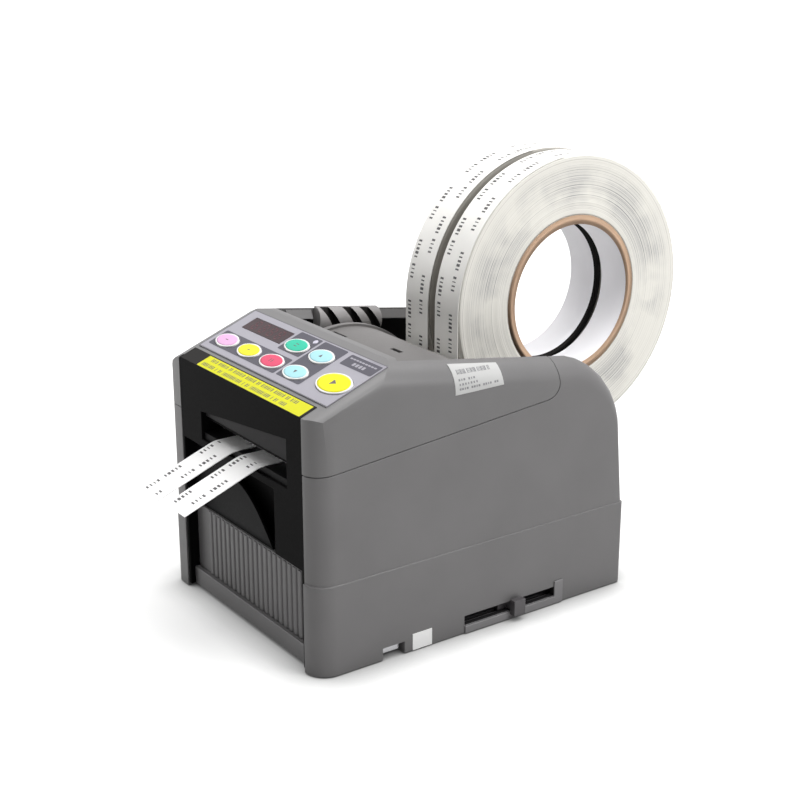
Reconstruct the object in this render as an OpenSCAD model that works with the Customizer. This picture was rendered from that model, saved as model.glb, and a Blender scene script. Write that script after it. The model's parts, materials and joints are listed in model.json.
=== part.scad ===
// Desk machine that feeds tape from rolls and cuts it to length.
// Front plane of the housing at y = 0, floor at z = 0, +X is the side with the slider.

/* [Housing] */
// Overall width over the base skirt
body_w = 138; // [130:1:150]
// Overall depth of the base skirt
body_len = 188; // [180:1:200]
// Height of the control panel's front edge
front_h = 125.5; // [120:0.5:132]
// Tilt of the control panel in degrees
panel_tilt = 21; // [17:1:24]
// Level depth of the control panel
panel_run = 50; // [46:0.5:54]
// Fall of the cheek tops towards the rear in degrees
roof_fall = 8.5; // [6:0.5:10]
// Forward lean of the rear edges in degrees
rear_lean = 5.5; // [4:0.5:9]
// Radius of the rear top corners
rear_r = 42; // [34:1:46]
// Thickness of each side cheek
cheek_t = 11.5; // [11:0.5:14]
// Radius of the upright front corner on the slider's side
corner_r = 11; // [8:0.5:12]
// Radius of the upright front corner on the far side
far_corner_r = 4.2; // [3:0.2:8]
// Rounding along the cheek top on the slider's side
roof_r = 14; // [10:0.5:16]
// Rounding along the cheek top on the far side
far_roof_r = 17; // [14:0.5:18]
// Rounding along the panel's edge on the slider's side
panel_edge_r = 6.5; // [5:0.5:8]
// Rounding along the panel's edge on the far side
far_panel_r = 12.4; // [10:0.1:13]
// Rounding of the rear upright edges
rear_edge_r = 2.2; // [1.2:0.2:5]
// Height of the step between skirt and upper housing
belt_h = 46; // [40:1:52]
// How far the skirt stands out at the step
belt_step = 0.6; // [0.4:0.1:1.2]
// Thickness of the panel and the bottom plate
plate_t = 2.5; // [2:0.1:3]
// Height of the feet
foot_h = 2; // [1.5:0.1:3]
// Height of the seam below the top cover, at the front
seam_h = 98.8; // [96:0.2:101]
// Rise of that seam towards the rear in degrees
seam_rise = 5.2; // [4:0.1:6]
// Place of the seam's upright end, from the front
seam_len = 142.6; // [138:0.2:146]
// Open joint along that seam
seam_gap = 0.4; // [0.2:0.1:0.6]

/* [Controls] */
// Width of the six small buttons
key_w = 17.8; // [16:0.2:18.4]
// Their size up the slope
key_l = 10.4; // [9:0.2:11]
// Width of the start button
start_w = 23.6; // [20:0.2:24]
// Its size up the slope
start_l = 14.6; // [13:0.2:15]
// Distance between the small buttons
key_pitch = 21.4; // [20.5:0.1:22]
// Travel of every button
key_travel = 0.5; // [0.3:0.1:0.6]
// Length of the slot for the side slider
slot_len = 57; // [50:1:60]
// Height of that slot
slot_h = 4.8; // [4:0.2:5.2]

/* [Tape] */
// Outer radius of the full rolls
roll_r = 74; // [70:0.5:76]
// Inner diameter of the cardboard cores
core_id = 76.2; // [74:0.1:78]
// Wall of the cardboard cores
core_t = 4.7; // [3:0.1:6]
// Width of each tape
tape_w = 19; // [16:0.5:21]
// Gap between the two tapes
tape_gap = 6; // [4:0.5:8]
// Thickness of the tape
tape_t = 0.4; // [0.3:0.05:0.6]
// Height of the roll axis
roll_z = 145; // [142:0.5:148]

/* [Mechanism] */
// Height of the tape's underside on its way through
tape_z = 91.6; // [90:0.1:93]
// Radius of the driven feed roller
feed_r = 9; // [8:0.1:10]
// Radius of the pinch roller
pinch_r = 7; // [6:0.1:8]
// Radius of the guide roller and the two support rollers
guide_r = 8; // [7:0.1:9]
// Shaft diameter
shaft_d = 6; // [5:0.1:7]
// Gear module
gear_m = 1; // [0.9:0.05:1.1]
// Teeth of the feed gear
gear_n = 36; // [32:1:38]
// Teeth of the motor pinion
pinion_n = 15; // [14:1:16]
// Motor diameter
motor_d = 28; // [24:0.5:30]
// Throw of the cutter crank
crank_throw = 8; // [7:0.1:9]
// Half of the crank's working stroke in degrees
crank_half = 40; // [35:1:42]
// Distance between the two frame plates, inside
frame_gap = 70; // [68:1:76]
// Thickness of the frame plates
frame_t = 2; // [1.5:0.1:3]

/* [Fits] */
// Gap between moving curved faces
run_gap = 0.3; // [0.25:0.05:0.5]
// Radial play of a shaft in its bore
play = 0.05; // [0.03:0.01:0.08]

/* [Hidden] */
$fn = 64;
half_w = body_w / 2;
in_x = half_w - cheek_t;
sill_h = 11.4;
skirt_low = 0.6;
sill_d = 14;
floor_z = foot_h + plate_t;
rear_wall = 8;
rear_in = body_len - rear_wall;
rear_wall_h = 44;
plate_edge = 6;
plate_x = half_w - plate_edge;
plate_y0 = 7;
plate_y1 = rear_in - 1;
fit_gap = 0.2;
crest_band = 4.5;
panel_rear = panel_run + crest_band;
crest_z = front_h + panel_run * tan(panel_tilt);
knob_len = 3.5;
rail_t = 0.8;

// Tape path
roll_y = body_len + 1;
roll_half = tape_w + tape_gap / 2;
guide_y = roll_y - roll_r - run_gap - tape_t - run_gap - guide_r;
guide_z = tape_z + tape_t + run_gap + guide_r;
feed_y = 44;
feed_z = tape_z - run_gap - feed_r;
pinch_z = tape_z + tape_t + run_gap + pinch_r;
cut_y = 16;
lip_y = 2.2;
lip_back = 12.8;
strip_y = 13.5;
hang_r = 14;
hang_turn = 21;
far_hang = 40.5;
near_hang = 40;
support_dist = roll_r + run_gap + guide_r;
front_support = 220;
rear_support = 280;

// Cutter
crank_y = 36;
crank_z = 46;
blade_rest = crank_throw * sin(crank_half);
blade_stroke = 2 * blade_rest;
post_x = frame_gap / 2 - 2;
post_y = 18;
post_d = 5;
pin_d = 5;
bed_y0 = 21;
bed_y1 = 32;
blade_top = tape_z;
blade_open = 4.4;
blade_tilt = 1.5;
bar_z0 = blade_top + blade_stroke + 2;
bar_h = 10;

// Frame plates and gears
frame_in = frame_gap / 2;
frame_out = frame_in + frame_t;
frame_y0 = 24;
frame_y1 = guide_y + 10;
frame_h = guide_z + 16;
gear_x = frame_out + 1;
gear_w = 6;
centre_dist = gear_m * (gear_n + pinion_n) / 2 + 0.1;
pinion_angle = -45;
pinion_y = feed_y + centre_dist * cos(pinion_angle);
pinion_z = feed_z + centre_dist * sin(pinion_angle);
pivot_y = 66;
pivot_z = 108;
arm_t = 3;
roller_half = frame_in - 6;

// Origin at the bottom centre of everything
knob_x = half_w + rail_t + run_gap;
mid_x = (knob_x + knob_len - half_w) / 2;
front_end = lip_y - (hang_r + tape_t) * sin(hang_turn) - max(far_hang, near_hang) * cos(hang_turn);
mid_y = (roll_y + roll_r + front_end) / 2;

// Places on the control panel: x, distance up the slope, width, length, colour
keys = [
    ["pink_button", -2 * key_pitch, 22.2, key_w, key_l, "plum"],
    ["yellow_button", -key_pitch, 22.2, key_w, key_l, "gold"],
    ["red_button", 0, 22.2, key_w, key_l, "crimson"],
    ["lower_blue_button", key_pitch, 22.2, key_w, key_l, "lightblue"],
    ["green_button", 0.5, 37, key_w, key_l, "mediumseagreen"],
    ["upper_blue_button", key_pitch + 1, 37, key_w, key_l, "lightblue"],
    ["start_button", 49.3, 25.8, start_w, start_l, "yellow"]
];
key_gap = 0.25;
key_flange = 0.8;
key_rise = 0.7;
flange_t = 1.5;
sheet_t = 0.5;
window = [-47.7, 34, 36.2, 9.5];
ledge = 1.2;
led_at = [6.8, 44, 3];
lead_d = 1.6;
board_drop = 8;
board_t = 1.6;
board_s = [5, 48];
board_bosses = [8.5, 45];
boss_d = 6;
switch_w = 6;
switch_gap = 0.2;
wall_t = 2;
board_half = in_x - wall_t - 1;

// Helpers

// Draws in the housing's own coordinates, with the origin moved to the bottom centre
module placed() translate([-mid_x, -mid_y, 0]) children();

// Extrudes a side view (y, z) from x0 to x1
module along_x(x0, x1) translate([x0, 0, 0]) rotate([90, 0, 90]) linear_extrude(x1 - x0) children();

// Cylinder along X
module rod(y, z, d, x0, x1) translate([x0, y, z]) rotate([0, 90, 0]) cylinder(d = d, h = x1 - x0);

// Box from low to high corner
module box(lo, hi) translate(lo) cube(hi - lo);

// Panel coordinates: x across, y up the slope, z out of the panel
module on_panel() translate([0, 0, front_h]) rotate([panel_tilt, 0, 0]) children();

// Convex outline with round corners, each corner [y, z, radius]
function unit(v) = v / norm(v);
function corner(p, i) =
    let (n = len(p), a = p[(i + n - 1) % n], b = p[i], c = p[(i + 1) % n],
        at = [b[0], b[1]], u = unit([a[0], a[1]] - at), v = unit([c[0], c[1]] - at),
        h = acos(u * v) / 2)
    [at + u * b[2] / tan(h), at + v * b[2] / tan(h), at + unit(u + v) * b[2] / sin(h), b[2]];
module round_outline(p) {
    c = [for (i = [0 : len(p) - 1]) corner(p, i)];
    polygon([for (k = c) each [k[0], k[1]]]);
    for (k = c) if (k[3] > 0) translate(k[2]) circle(k[3]);
}

// Oval of four arcs that meet tangentially
module oval(w, l) {
    a = w / 2;
    b = l / 2;
    tip = 1.15 * b * b / a;
    flank = (pow(a - tip, 2) + b * b - tip * tip) / (2 * (b - tip));
    meet = flank * (a - tip) / (flank - tip);
    for (s = [-1, 1]) translate([s * (a - tip), 0]) circle(tip);
    intersection() {
        translate([0, b - flank]) circle(flank, $fn = 128);
        translate([0, flank - b]) circle(flank, $fn = 128);
        square([2 * meet, l], center = true);
    }
}

// Thin ring sector around X, for bent sheet
module bent_sheet(y, z, r, t, a0, a1, x0, x1) {
    far = 3 * r;
    along_x(x0, x1) translate([y, z]) intersection() {
        difference() {
            circle(r + t, $fn = 128);
            circle(r, $fn = 128);
        }
        polygon([[0, 0], far * [cos(a0), sin(a0)], far * [cos((a0 + a1) / 2), sin((a0 + a1) / 2)],
            far * [cos(a1), sin(a1)]]);
    }
}

// Housing

// Side view as support lines: normal angle, distance from the axis origin, edge radius
function support(a, p) = p[0] * cos(a) + p[1] * sin(a);
roof_a = 90 - roof_fall;
rear_foot = [body_len, belt_h];
function cross_lines(a1, h1, a2, h2) =
    [h1 * sin(a2) - h2 * sin(a1), h2 * cos(a1) - h1 * cos(a2)] / sin(a2 - a1);
roof_s = support(roof_a, [panel_run, crest_z]);
rear_s = support(rear_lean, rear_foot);
round_at = cross_lines(roof_a, roof_s - rear_r, rear_lean, rear_s - rear_r);
arc_steps = 7;
function top_r(side) = side < 0 ? far_roof_r : roof_r;
function edges(side) = concat(
    [[180, 0, side < 0 ? far_corner_r : corner_r],
        [90 + panel_tilt, support(90 + panel_tilt, [0, front_h]) + belt_step, side < 0 ? far_panel_r : panel_edge_r]],
    [for (i = [0 : arc_steps])
        let (a = roof_a + (rear_lean - roof_a) * i / arc_steps)
        [a, support(a, round_at) + rear_r, top_r(side) + (rear_edge_r - top_r(side)) * i / arc_steps]],
    [[-90, -belt_h, 0]]);
function inset(r, d) = d >= r ? 0 : r - sqrt(r * r - (r - d) * (r - d));
function slice(d, grow, side) =
    let (lines = edges(side), n = len(lines))
    [for (i = [0 : n - 1])
        let (e = lines[i], f = lines[(i + 1) % n],
            g = e[2] > 0 ? grow : 0, k = f[2] > 0 ? grow : 0)
        cross_lines(e[0], e[1] + g - inset(e[2], d), f[0], f[1] + k - inset(f[2], d))];
depths = [0, 0.03, 0.1, 0.22, 0.38, 0.6, 1];

// Upper housing as one solid, rounded along its outer edges
module upper_block(grow) {
    hull() for (side = [-1, 1], share = depths) let (d = share * top_r(side))
        translate([side * (half_w + grow - d), 0, 0]) rotate([90, 0, 90])
            linear_extrude(0.01, center = true) polygon(slice(d, grow, side));
}

// Base skirt as one solid with round upright corners
module skirt_block() {
    translate([0, 0, skirt_low]) linear_extrude(belt_h - skirt_low)
        round_outline([[-half_w, 0, far_corner_r], [half_w, 0, corner_r],
            [half_w, body_len, rear_edge_r], [-half_w, body_len, rear_edge_r]]);
}

// Side view of everything above the seam
module above_seam() {
    slope = tan(seam_rise);
    out = 20;
    round_outline([[-out, seam_h - out * slope, 0], [seam_len, seam_h + seam_len * slope, seam_bend],
        [seam_len, 2 * front_h, 0], [-out, 2 * front_h, 0]]);
}
seam_bend = 8;

// Height of the cheek tops at a distance from the front
function roof_at(y) = crest_z - (y - panel_run) * tan(roof_fall) - belt_step / cos(roof_fall);

function panel_top(y) = front_h + y * tan(panel_tilt);
function panel_under(y) = panel_top(y) - plate_t / cos(panel_tilt);

// Side view of the chamber under the panel and the open bay behind it
module chamber(sill, rear_h) {
    out = 40;
    polygon([[-out, sill], [-out, panel_under(-out)], [panel_rear, panel_under(panel_rear)],
        [panel_rear, 2 * front_h], [body_len + out, 2 * front_h], [body_len + out, rear_h],
        [rear_in, rear_h], [rear_in, -1], [sill_d, -1], [sill_d, sill]]);
}

pocket = [78, 150, 12];
slot_y0 = 85;
slot_z0 = floor_z + 0.4;
skin_t = 3;
notch = [36.5, 49, 6.7];
jack = [-36, 24, 10.8];
clear_y = 3.5;

// Cheeks, skirt, sill and low rear wall in one moulding
module main_body() color("dimgray") placed() difference() {
    union() {
        difference() {
            upper_block(-belt_step);
            along_x(-body_w, body_w) above_seam();
        }
        skirt_block();
    }
    along_x(-in_x, in_x) chamber(sill_h, rear_wall_h);
    along_x(-in_x, in_x) polygon([[-1, -1], [plate_y0, -1], [plate_y0, foot_h], [clear_y, foot_h],
        [clear_y, sill_h + 1], [-1, sill_h + 1]]);
    box([-plate_x - fit_gap, plate_y0 - fit_gap, -1], [plate_x + fit_gap, plate_y1 + fit_gap, floor_z]);
    box([in_x - 1, pocket[0], floor_z - 1], [half_w - skin_t, pocket[1], pocket[2]]);
    box([half_w - skin_t - 1, slot_y0, slot_z0], [half_w + 1, slot_y0 + slot_len, slot_z0 + slot_h]);
    box([plate_x - 1, notch[0], -1], [half_w + 1, notch[1], notch[2]]);
    translate([jack[0], rear_in - 1, jack[1]]) rotate([-90, 0, 0])
        cylinder(d = jack[2] + 2 * fit_gap, h = rear_wall + 3);
}

// Front part of both cheeks with the sloping panel between them
module top_cover() color("gray") placed() difference() {
    union() {
        difference() {
            intersection() {
                upper_block(-belt_step);
                along_x(-body_w, body_w) translate([-seam_gap, seam_gap]) above_seam();
            }
            along_x(-in_x, in_x) chamber(-1, -1);
        }
        on_panel() for (x = [-1, 1] * (board_half - boss_d / 2), s = board_bosses)
            translate([x, s, -board_drop]) cylinder(d = boss_d, h = board_drop - 1);
    }
    box([-in_x, -1, 0], [in_x, plate_back, 2 * front_h]);
    on_panel() {
        for (k = keys) translate([k[1], k[2], -2 * board_drop]) {
            key_prism(k, key_gap, 4 * board_drop);
            key_prism(k, key_flange + key_gap, 2 * board_drop - plate_t);
        }
        translate([window[0] + ledge, window[1] + ledge, -board_drop])
            cube([window[2] - 2 * ledge, window[3] - 2 * ledge, 2 * board_drop]);
        translate([led_at[0], led_at[1], -board_drop]) cylinder(d = led_at[2] + 2 * key_gap, h = 2 * board_drop);
    }
}

standoffs = [for (x = [-26, 26], y = [64, 104]) [x, y]];
standoff_h = 4.5;
standoff_d = 6;

// Plate that closes the base and carries the mechanism
module bottom_plate() color("slategray") placed() {
    box([-plate_x, plate_y0, foot_h], [plate_x, plate_y1, floor_z]);
    for (p = standoffs) translate([p[0], p[1], floor_z]) cylinder(d = standoff_d, h = standoff_h);
}

foot_d = 12;
foot_in = 14;
module at_corners(dx) {
    for (x = [-1, 1] * (plate_x - dx), y = [plate_y0 + dx, plate_y1 - dx]) translate([x, y, 0]) children();
}
module feet() color("black") placed() at_corners(foot_in) cylinder(d = foot_d, h = foot_h);

screw_d = 6;
screw_h = 1.2;
module base_screws() color("silver") placed() at_corners(foot_in / 2)
    translate([0, 0, foot_h - screw_h]) cylinder(d = screw_d, h = screw_h);

// Front

bezel_y = 0.8;
bezel_t = 2.5;
outlet = [-36.5, 44, 88, 102.5, 112];
recess = [wall_t - in_x, 32, 51.4, 84];
panel_y = 6.5;
rib_top = 46.8;

// Black frame round the outlet, with side walls down past the sill's front
module front_bezel() color("black") placed() {
    difference() {
        along_x(-in_x, in_x) polygon([[bezel_y, recess[2]], [plate_back, recess[2]],
            [plate_back, panel_top(plate_back)], [bezel_y, panel_top(bezel_y)]]);
        translate([0, plate_back + 1, 0]) rotate([90, 0, 0]) linear_extrude(bezel_t + 2) {
            polygon([[outlet[0], outlet[2]], [outlet[1], outlet[2]], [outlet[1], outlet[4]],
                [outlet[0], outlet[3]]]);
            translate([recess[0], recess[2] - 1]) square([recess[1] - recess[0], recess[3] - recess[2] + 1]);
        }
    }
    for (x = [outlet[0] - wall_t, outlet[1]])
        box([x, plate_back, recess[3]], [x + wall_t, lip_back, outlet[3]]);
    for (x = [-in_x, in_x - wall_t]) along_x(x, x + wall_t) polygon([[bezel_y, foot_h], [clear_y, foot_h],
        [clear_y, sill_h], [sill_d, sill_h], [sill_d, panel_under(bezel_y)], [bezel_y, panel_under(bezel_y)]]);
}

plate_back = bezel_y + bezel_t;
guide_lap = 4;
guide_t = 1.5;
guide_low = 100;

// Grey plate behind the slanted upper edge of the outlet
module guide_plate() color("darkslategray") placed()
    box([outlet[0] + fit_gap, plate_back, guide_low], [outlet[1] - fit_gap, plate_back + guide_t, outlet[4] + guide_lap]);

chute_r = 80;
chute_t = 1.5;
chute_y = 6;
chute_z = 62;
chute_top = recess[3] - 2 * fit_gap;
chute_low = rib_top;
chute_x = 22;

// Lip under the tape and the bent apron below it
module exit_chute() color("black") placed() {
    box([outlet[0] + fit_gap, lip_y, outlet[2]], [outlet[1] - fit_gap, lip_back, tape_z]);
    difference() {
        bent_sheet(chute_y + chute_r + chute_t, chute_z, chute_r, chute_t,
            180 - asin((chute_top - chute_z) / (chute_r + chute_t)),
            180 + asin((chute_z - chute_low) / (chute_r + chute_t)), -in_x + wall_t, chute_x);
        translate([0, body_len, 0]) rotate([90, 0, 0]) linear_extrude(2 * body_len) difference() {
            translate([chute_x - apron_r, chute_low - 1]) square(2 * apron_r);
            translate([chute_x - apron_r, chute_low - apron_drop]) circle(apron_r, $fn = 128);
        }
    }
}
apron_r = 42;
apron_drop = 16.3;

guard_low = 97.8;
guard_t = 1.5;
shield_t = 1;

// Black wall that closes the recess at the back, and the finger guard behind the guide plate
module inner_shield() color("black") placed() {
    box([-in_x + wall_t, lip_back, rib_top], [in_x - wall_t, lip_back + shield_t, recess[3]]);
    box([outlet[0] + fit_gap, plate_back + guide_t, guard_low],
        [outlet[1] - fit_gap, plate_back + guide_t + guard_t, outlet[4] + guide_lap]);
}

rib_pitch = 4.2;
rib_w = 3;
rib_d = 1;
plain_w = 18.4;
rib_end = 1;

// Lower front panel with upright ribs
module ribbed_panel() color("gray") placed() {
    x0 = -in_x + wall_t;
    x1 = in_x - wall_t;
    box([x0, panel_y, sill_h], [x1, lip_back, rib_top]);
    for (x = [x0 + plain_w : rib_pitch : x1 - rib_w])
        box([x, panel_y - rib_d, sill_h + rib_end], [x + rib_w, panel_y, rib_top - rib_end]);
}

// Control panel

sheet_x = [-half_w + belt_step + far_panel_r + 0.1, half_w - belt_step - panel_edge_r - 0.1];
sheet_s = [12.3, 47.9];
strip_s = [0.9, 10.2];
strip_t = 0.3;

// Printed sheet with holes for the buttons and the window
module control_sheet() color("lavender") placed() on_panel() difference() {
    translate([sheet_x[0], sheet_s[0], 0]) cube([sheet_x[1] - sheet_x[0], sheet_s[1] - sheet_s[0], sheet_t]);
    for (k = keys) translate([k[1], k[2], -1]) key_prism(k, key_gap, 3);
    translate([window[0] - fit_gap, window[1] - fit_gap, -1])
        cube([window[2] + 2 * fit_gap, window[3] + 2 * fit_gap, 3]);
    translate([led_at[0], led_at[1], -1]) cylinder(d = led_at[2] + 2 * key_gap, h = 3);
}

module caution_strip() color("yellow") placed() on_panel()
    translate([sheet_x[0], strip_s[0], 0]) cube([in_x - sheet_x[0], strip_s[1] - strip_s[0], strip_t]);

module display_window() color("maroon") placed() on_panel()
    translate([window[0], window[1], 0]) cube([window[2], window[3], sheet_t + 0.1]);

// Board under the panel, with one switch below each button
module display_board() color("darkgreen") placed() on_panel() {
    translate([-board_half, board_s[0], -board_drop - board_t])
        cube([2 * board_half, board_s[1] - board_s[0], board_t]);
    for (k = keys) translate([k[1] - switch_w / 2, k[2] - switch_w / 2, -board_drop])
        cube([switch_w, switch_w, board_drop - plate_t - flange_t - key_travel - switch_gap]);
}

module digit_display() color("black") placed() on_panel()
    translate([window[0] + ledge + 1, window[1] + ledge / 2, -board_drop])
        cube([window[2] - 2 * ledge - 2, window[3] - ledge, board_drop - plate_t - 0.5]);

module indicator_led() color("white") placed() on_panel() translate([led_at[0], led_at[1], 0]) {
    translate([0, 0, -board_drop]) cylinder(d = lead_d, h = board_drop);
    translate([0, 0, -plate_t]) cylinder(d = led_at[2], h = plate_t + sheet_t + 0.3);
}

// Oval prism of a button, grown by a gap all round
module key_prism(k, gap, h) linear_extrude(h) oval(k[3] + 2 * gap, k[4] + 2 * gap);

// Button: oval cap through the panel with a flange that holds it in
module button(i) color(keys[i][5]) placed() on_panel() translate([keys[i][1], keys[i][2], 0]) {
    translate([0, 0, -plate_t - flange_t]) key_prism(keys[i], key_flange, flange_t);
    translate([0, 0, -plate_t]) key_prism(keys[i], 0, plate_t + sheet_t + key_rise);
}

// Frame and feed

// One frame plate with its foot flange
module frame_plate(side) {
    mirror([side < 0 ? 1 : 0, 0, 0]) {
        difference() {
            along_x(frame_in, frame_out) round_outline([[frame_y0, floor_z, 0], [frame_y1, floor_z, 0],
                [frame_y1, frame_h, 12], [pivot_y - 12, frame_h, 6], [frame_y0, tape_z + 18, 6]]);
            for (p = [[feed_y, feed_z], [guide_y, guide_z]])
                rod(p[0], p[1], shaft_d + 4, frame_in - 1, frame_out + 1);
            rod(pivot_y, pivot_z, shaft_d + 2 * play, frame_in - 1, frame_out + 1);
            if (side < 0) rod(pinion_y, pinion_z, 12, frame_in - 1, frame_out + 1);
            if (side > 0) rod(crank_y, crank_z, 12, frame_in - 1, frame_out + 1);
        }
        box([frame_in, frame_y0, floor_z], [frame_out + 8, frame_y1, floor_z + frame_t]);
    }
}
module left_frame() color("silver") placed() frame_plate(-1);
module right_frame() color("silver") placed() frame_plate(1);

module frame_spacers() color("silver") placed()
    for (p = [[frame_y1 - 10, 32], [frame_y1 - 10, 66], [frame_y0 + 6, 24]]) rod(p[0], p[1], 7, -frame_in, frame_in);

// Flanged bushes in the frame plates
module shaft_bushes() color("goldenrod") placed()
    for (s = [0, 1], p = [[feed_y, feed_z], [guide_y, guide_z]]) mirror([s, 0, 0]) difference() {
        union() {
            rod(p[0], p[1], shaft_d + 4, frame_in, frame_out);
            rod(p[0], p[1], shaft_d + 7, frame_in - 1.5, frame_in);
        }
        rod(p[0], p[1], shaft_d + 2 * play, frame_in - 3, frame_out + 1);
    }

// Flat table under the tape
module tape_table() color("silver") placed()
    box([-frame_in, feed_y + feed_r + 3, tape_z - 2], [frame_in, guide_y - 6, tape_z]);

module feed_roller() color("dimgray") placed() {
    rod(feed_y, feed_z, 2 * feed_r, -roller_half, roller_half);
    rod(feed_y, feed_z, shaft_d, -gear_x - gear_w - 1, frame_out + 2);
}

// Involute gear outline with short teeth
function involute(rb, t) = rb * [cos(t) + t * PI / 180 * sin(t), sin(t) - t * PI / 180 * cos(t)];
function turned(p, a) = [p[0] * cos(a) - p[1] * sin(a), p[0] * sin(a) + p[1] * cos(a)];
module gear_outline(m, n) {
    press = 20;
    backlash = 0.12;
    rp = m * n / 2;
    rb = rp * cos(press);
    ra = rp + 0.8 * m;
    rr = rp - 1.1 * m;
    half = 90 / n - backlash / rp * 180 / PI;
    shift = half + (tan(press) * 180 / PI - press);
    t0 = rr > rb ? sqrt(pow(rr / rb, 2) - 1) * 180 / PI : 0;
    t1 = sqrt(pow(ra / rb, 2) - 1) * 180 / PI;
    flank = concat(rr < rb ? [[rr, 0]] : [], [for (i = [0 : 4]) involute(rb, t0 + (t1 - t0) * i / 4)]);
    mirrored = [for (i = [len(flank) - 1 : -1 : 0]) [flank[i][0], -flank[i][1]]];
    polygon([for (k = [0 : n - 1]) each concat(
        [for (p = flank) turned(p, k * 360 / n - shift)],
        [for (p = mirrored) turned(p, k * 360 / n + shift)])]);
}

// Gear along X with the middle of one tooth turned to the angle given
module gear(y, z, n, angle, x0, x1) along_x(x0, x1) translate([y, z]) rotate(angle) gear_outline(gear_m, n);

module feed_gear() color("ivory") placed() difference() {
    gear(feed_y, feed_z, gear_n, pinion_angle, -gear_x - gear_w, -gear_x);
    rod(feed_y, feed_z, shaft_d, -gear_x - gear_w - 1, -gear_x + 1);
    for (a = [0 : 60 : 300])
        rod(feed_y + 10.5 * cos(a), feed_z + 10.5 * sin(a), 6, -gear_x - gear_w - 1, -gear_x + 1);
}

motor_len = 42;
boss_out = 10;
boss_len = 3;
spindle_d = 5;
spindle_in = 12;
module motor(y, z, face, back) {
    s = sign(face - back);
    lo = min(face, back);
    hi = max(face, back);
    difference() {
        union() {
            rod(y, z, motor_d, lo, hi);
            rod(y, z, boss_out, s > 0 ? lo - boss_len : hi, s > 0 ? lo : hi + boss_len);
        }
        rod(y, z, spindle_d + 2 * play, s > 0 ? hi - spindle_in : lo - 1, s > 0 ? hi + 1 : lo + spindle_in);
    }
}
module feed_motor() color("silver") placed() motor(pinion_y, pinion_z, -frame_in, motor_len - frame_in);
module cutter_motor() color("silver") placed() motor(crank_y, crank_z, frame_in, frame_in - motor_len);

module motor_pinion() color("goldenrod") placed() {
    gear(pinion_y, pinion_z, pinion_n, pinion_angle + 180 + 180 / pinion_n, -gear_x - gear_w, -gear_x);
    rod(pinion_y, pinion_z, spindle_d, -gear_x, -frame_in + spindle_in - 0.5);
}

// Pinch roller on two arms that swing on a rod
arm_out = frame_in - 1;
arm_in = arm_out - arm_t;
pinch_shaft = 4;
module pinch_arms() color("lightslategray") placed() {
    difference() {
        for (s = [0, 1]) mirror([s, 0, 0]) along_x(arm_in, arm_out) {
            translate([pivot_y, pivot_z]) circle(6);
            translate([feed_y, pinch_z]) circle(5);
            round_outline([[feed_y - 1, pinch_z - 3, 0], [pivot_y + 1, pivot_z - 4, 0],
                [pivot_y - 1, pivot_z + 5, 0], [feed_y - 2, pinch_z + 4, 0]]);
        }
        rod(feed_y, pinch_z, pinch_shaft + 2 * play, -frame_in, frame_in);
    }
    rod(pivot_y, pivot_z, shaft_d, -frame_out - 1, frame_out + 1);
}
module pinch_roller() color("dimgray") placed() {
    rod(feed_y, pinch_z, 2 * pinch_r, -arm_in + 0.5, arm_in - 0.5);
    rod(feed_y, pinch_z, pinch_shaft, -arm_out, arm_out);
}

module guide_roller() color("whitesmoke") placed() {
    rod(guide_y, guide_z, 2 * guide_r, -roller_half, roller_half);
    rod(guide_y, guide_z, shaft_d, -frame_out - 2, frame_out + 2);
}

// Cutter

// Bar that carries the fixed blade and the tape in front of the rollers
module blade_bed() color("gray") placed()
    box([-frame_in, bed_y0, tape_z - 20], [frame_in, bed_y1, tape_z]);

blade_half = post_x - 4;
module fixed_blade() color("silver") placed() along_x(-blade_half, blade_half)
    polygon([[cut_y + fit_gap, blade_top], [bed_y0, blade_top], [bed_y0, blade_top - 16],
        [cut_y + 2, blade_top - 16], [cut_y + fit_gap, blade_top - 6]]);

module blade_posts() color("silver") placed()
    for (x = [-post_x, post_x]) translate([x, post_y, floor_z]) cylinder(d = post_d, h = bar_z0 + bar_h + 2 - floor_z);

arm_x = frame_out + 5;
carriage_arm_t = 3;
pin_rest_y = crank_y - crank_throw * cos(crank_half);
pin_rest_z = crank_z + blade_rest;
yoke_gap = 0.4;

// Sliding bar on the posts, with an arm down to the crank pin
module blade_carriage() color("lightslategray") placed() difference() {
    union() {
        box([-post_x - 5, cut_y, bar_z0], [arm_x + carriage_arm_t, cut_y + 6, bar_z0 + bar_h]);
        for (x = [-post_x, post_x]) translate([x, post_y, bar_z0]) cylinder(d = post_d + 4, h = bar_h);
        along_x(arm_x, arm_x + carriage_arm_t) round_outline([[cut_y, pin_rest_z - 9, 3],
            [crank_y, pin_rest_z - 9, 3], [crank_y, pin_rest_z + 9, 3], [cut_y + 8, bar_z0 + bar_h, 2],
            [cut_y, bar_z0 + bar_h, 0]]);
    }
    for (x = [-post_x, post_x])
        translate([x, post_y, bar_z0 - 1]) cylinder(d = post_d + 2 * play, h = bar_h + 2);
    box([arm_x - 1, crank_y - crank_throw - pin_d / 2 - yoke_gap, pin_rest_z - pin_d / 2 - yoke_gap],
        [arm_x + carriage_arm_t + 1, pin_rest_y + pin_d / 2 + yoke_gap, pin_rest_z + pin_d / 2 + yoke_gap]);
}

module moving_blade() color("silver") placed() translate([0, cut_y, 0]) rotate([90, 0, 0]) linear_extrude(2)
    polygon([[-blade_half, blade_top + tape_t + blade_open], [blade_half, blade_top + tape_t + blade_open + blade_tilt],
        [blade_half, bar_z0 + bar_h - 1], [-blade_half, bar_z0 + bar_h - 1]]);

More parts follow.
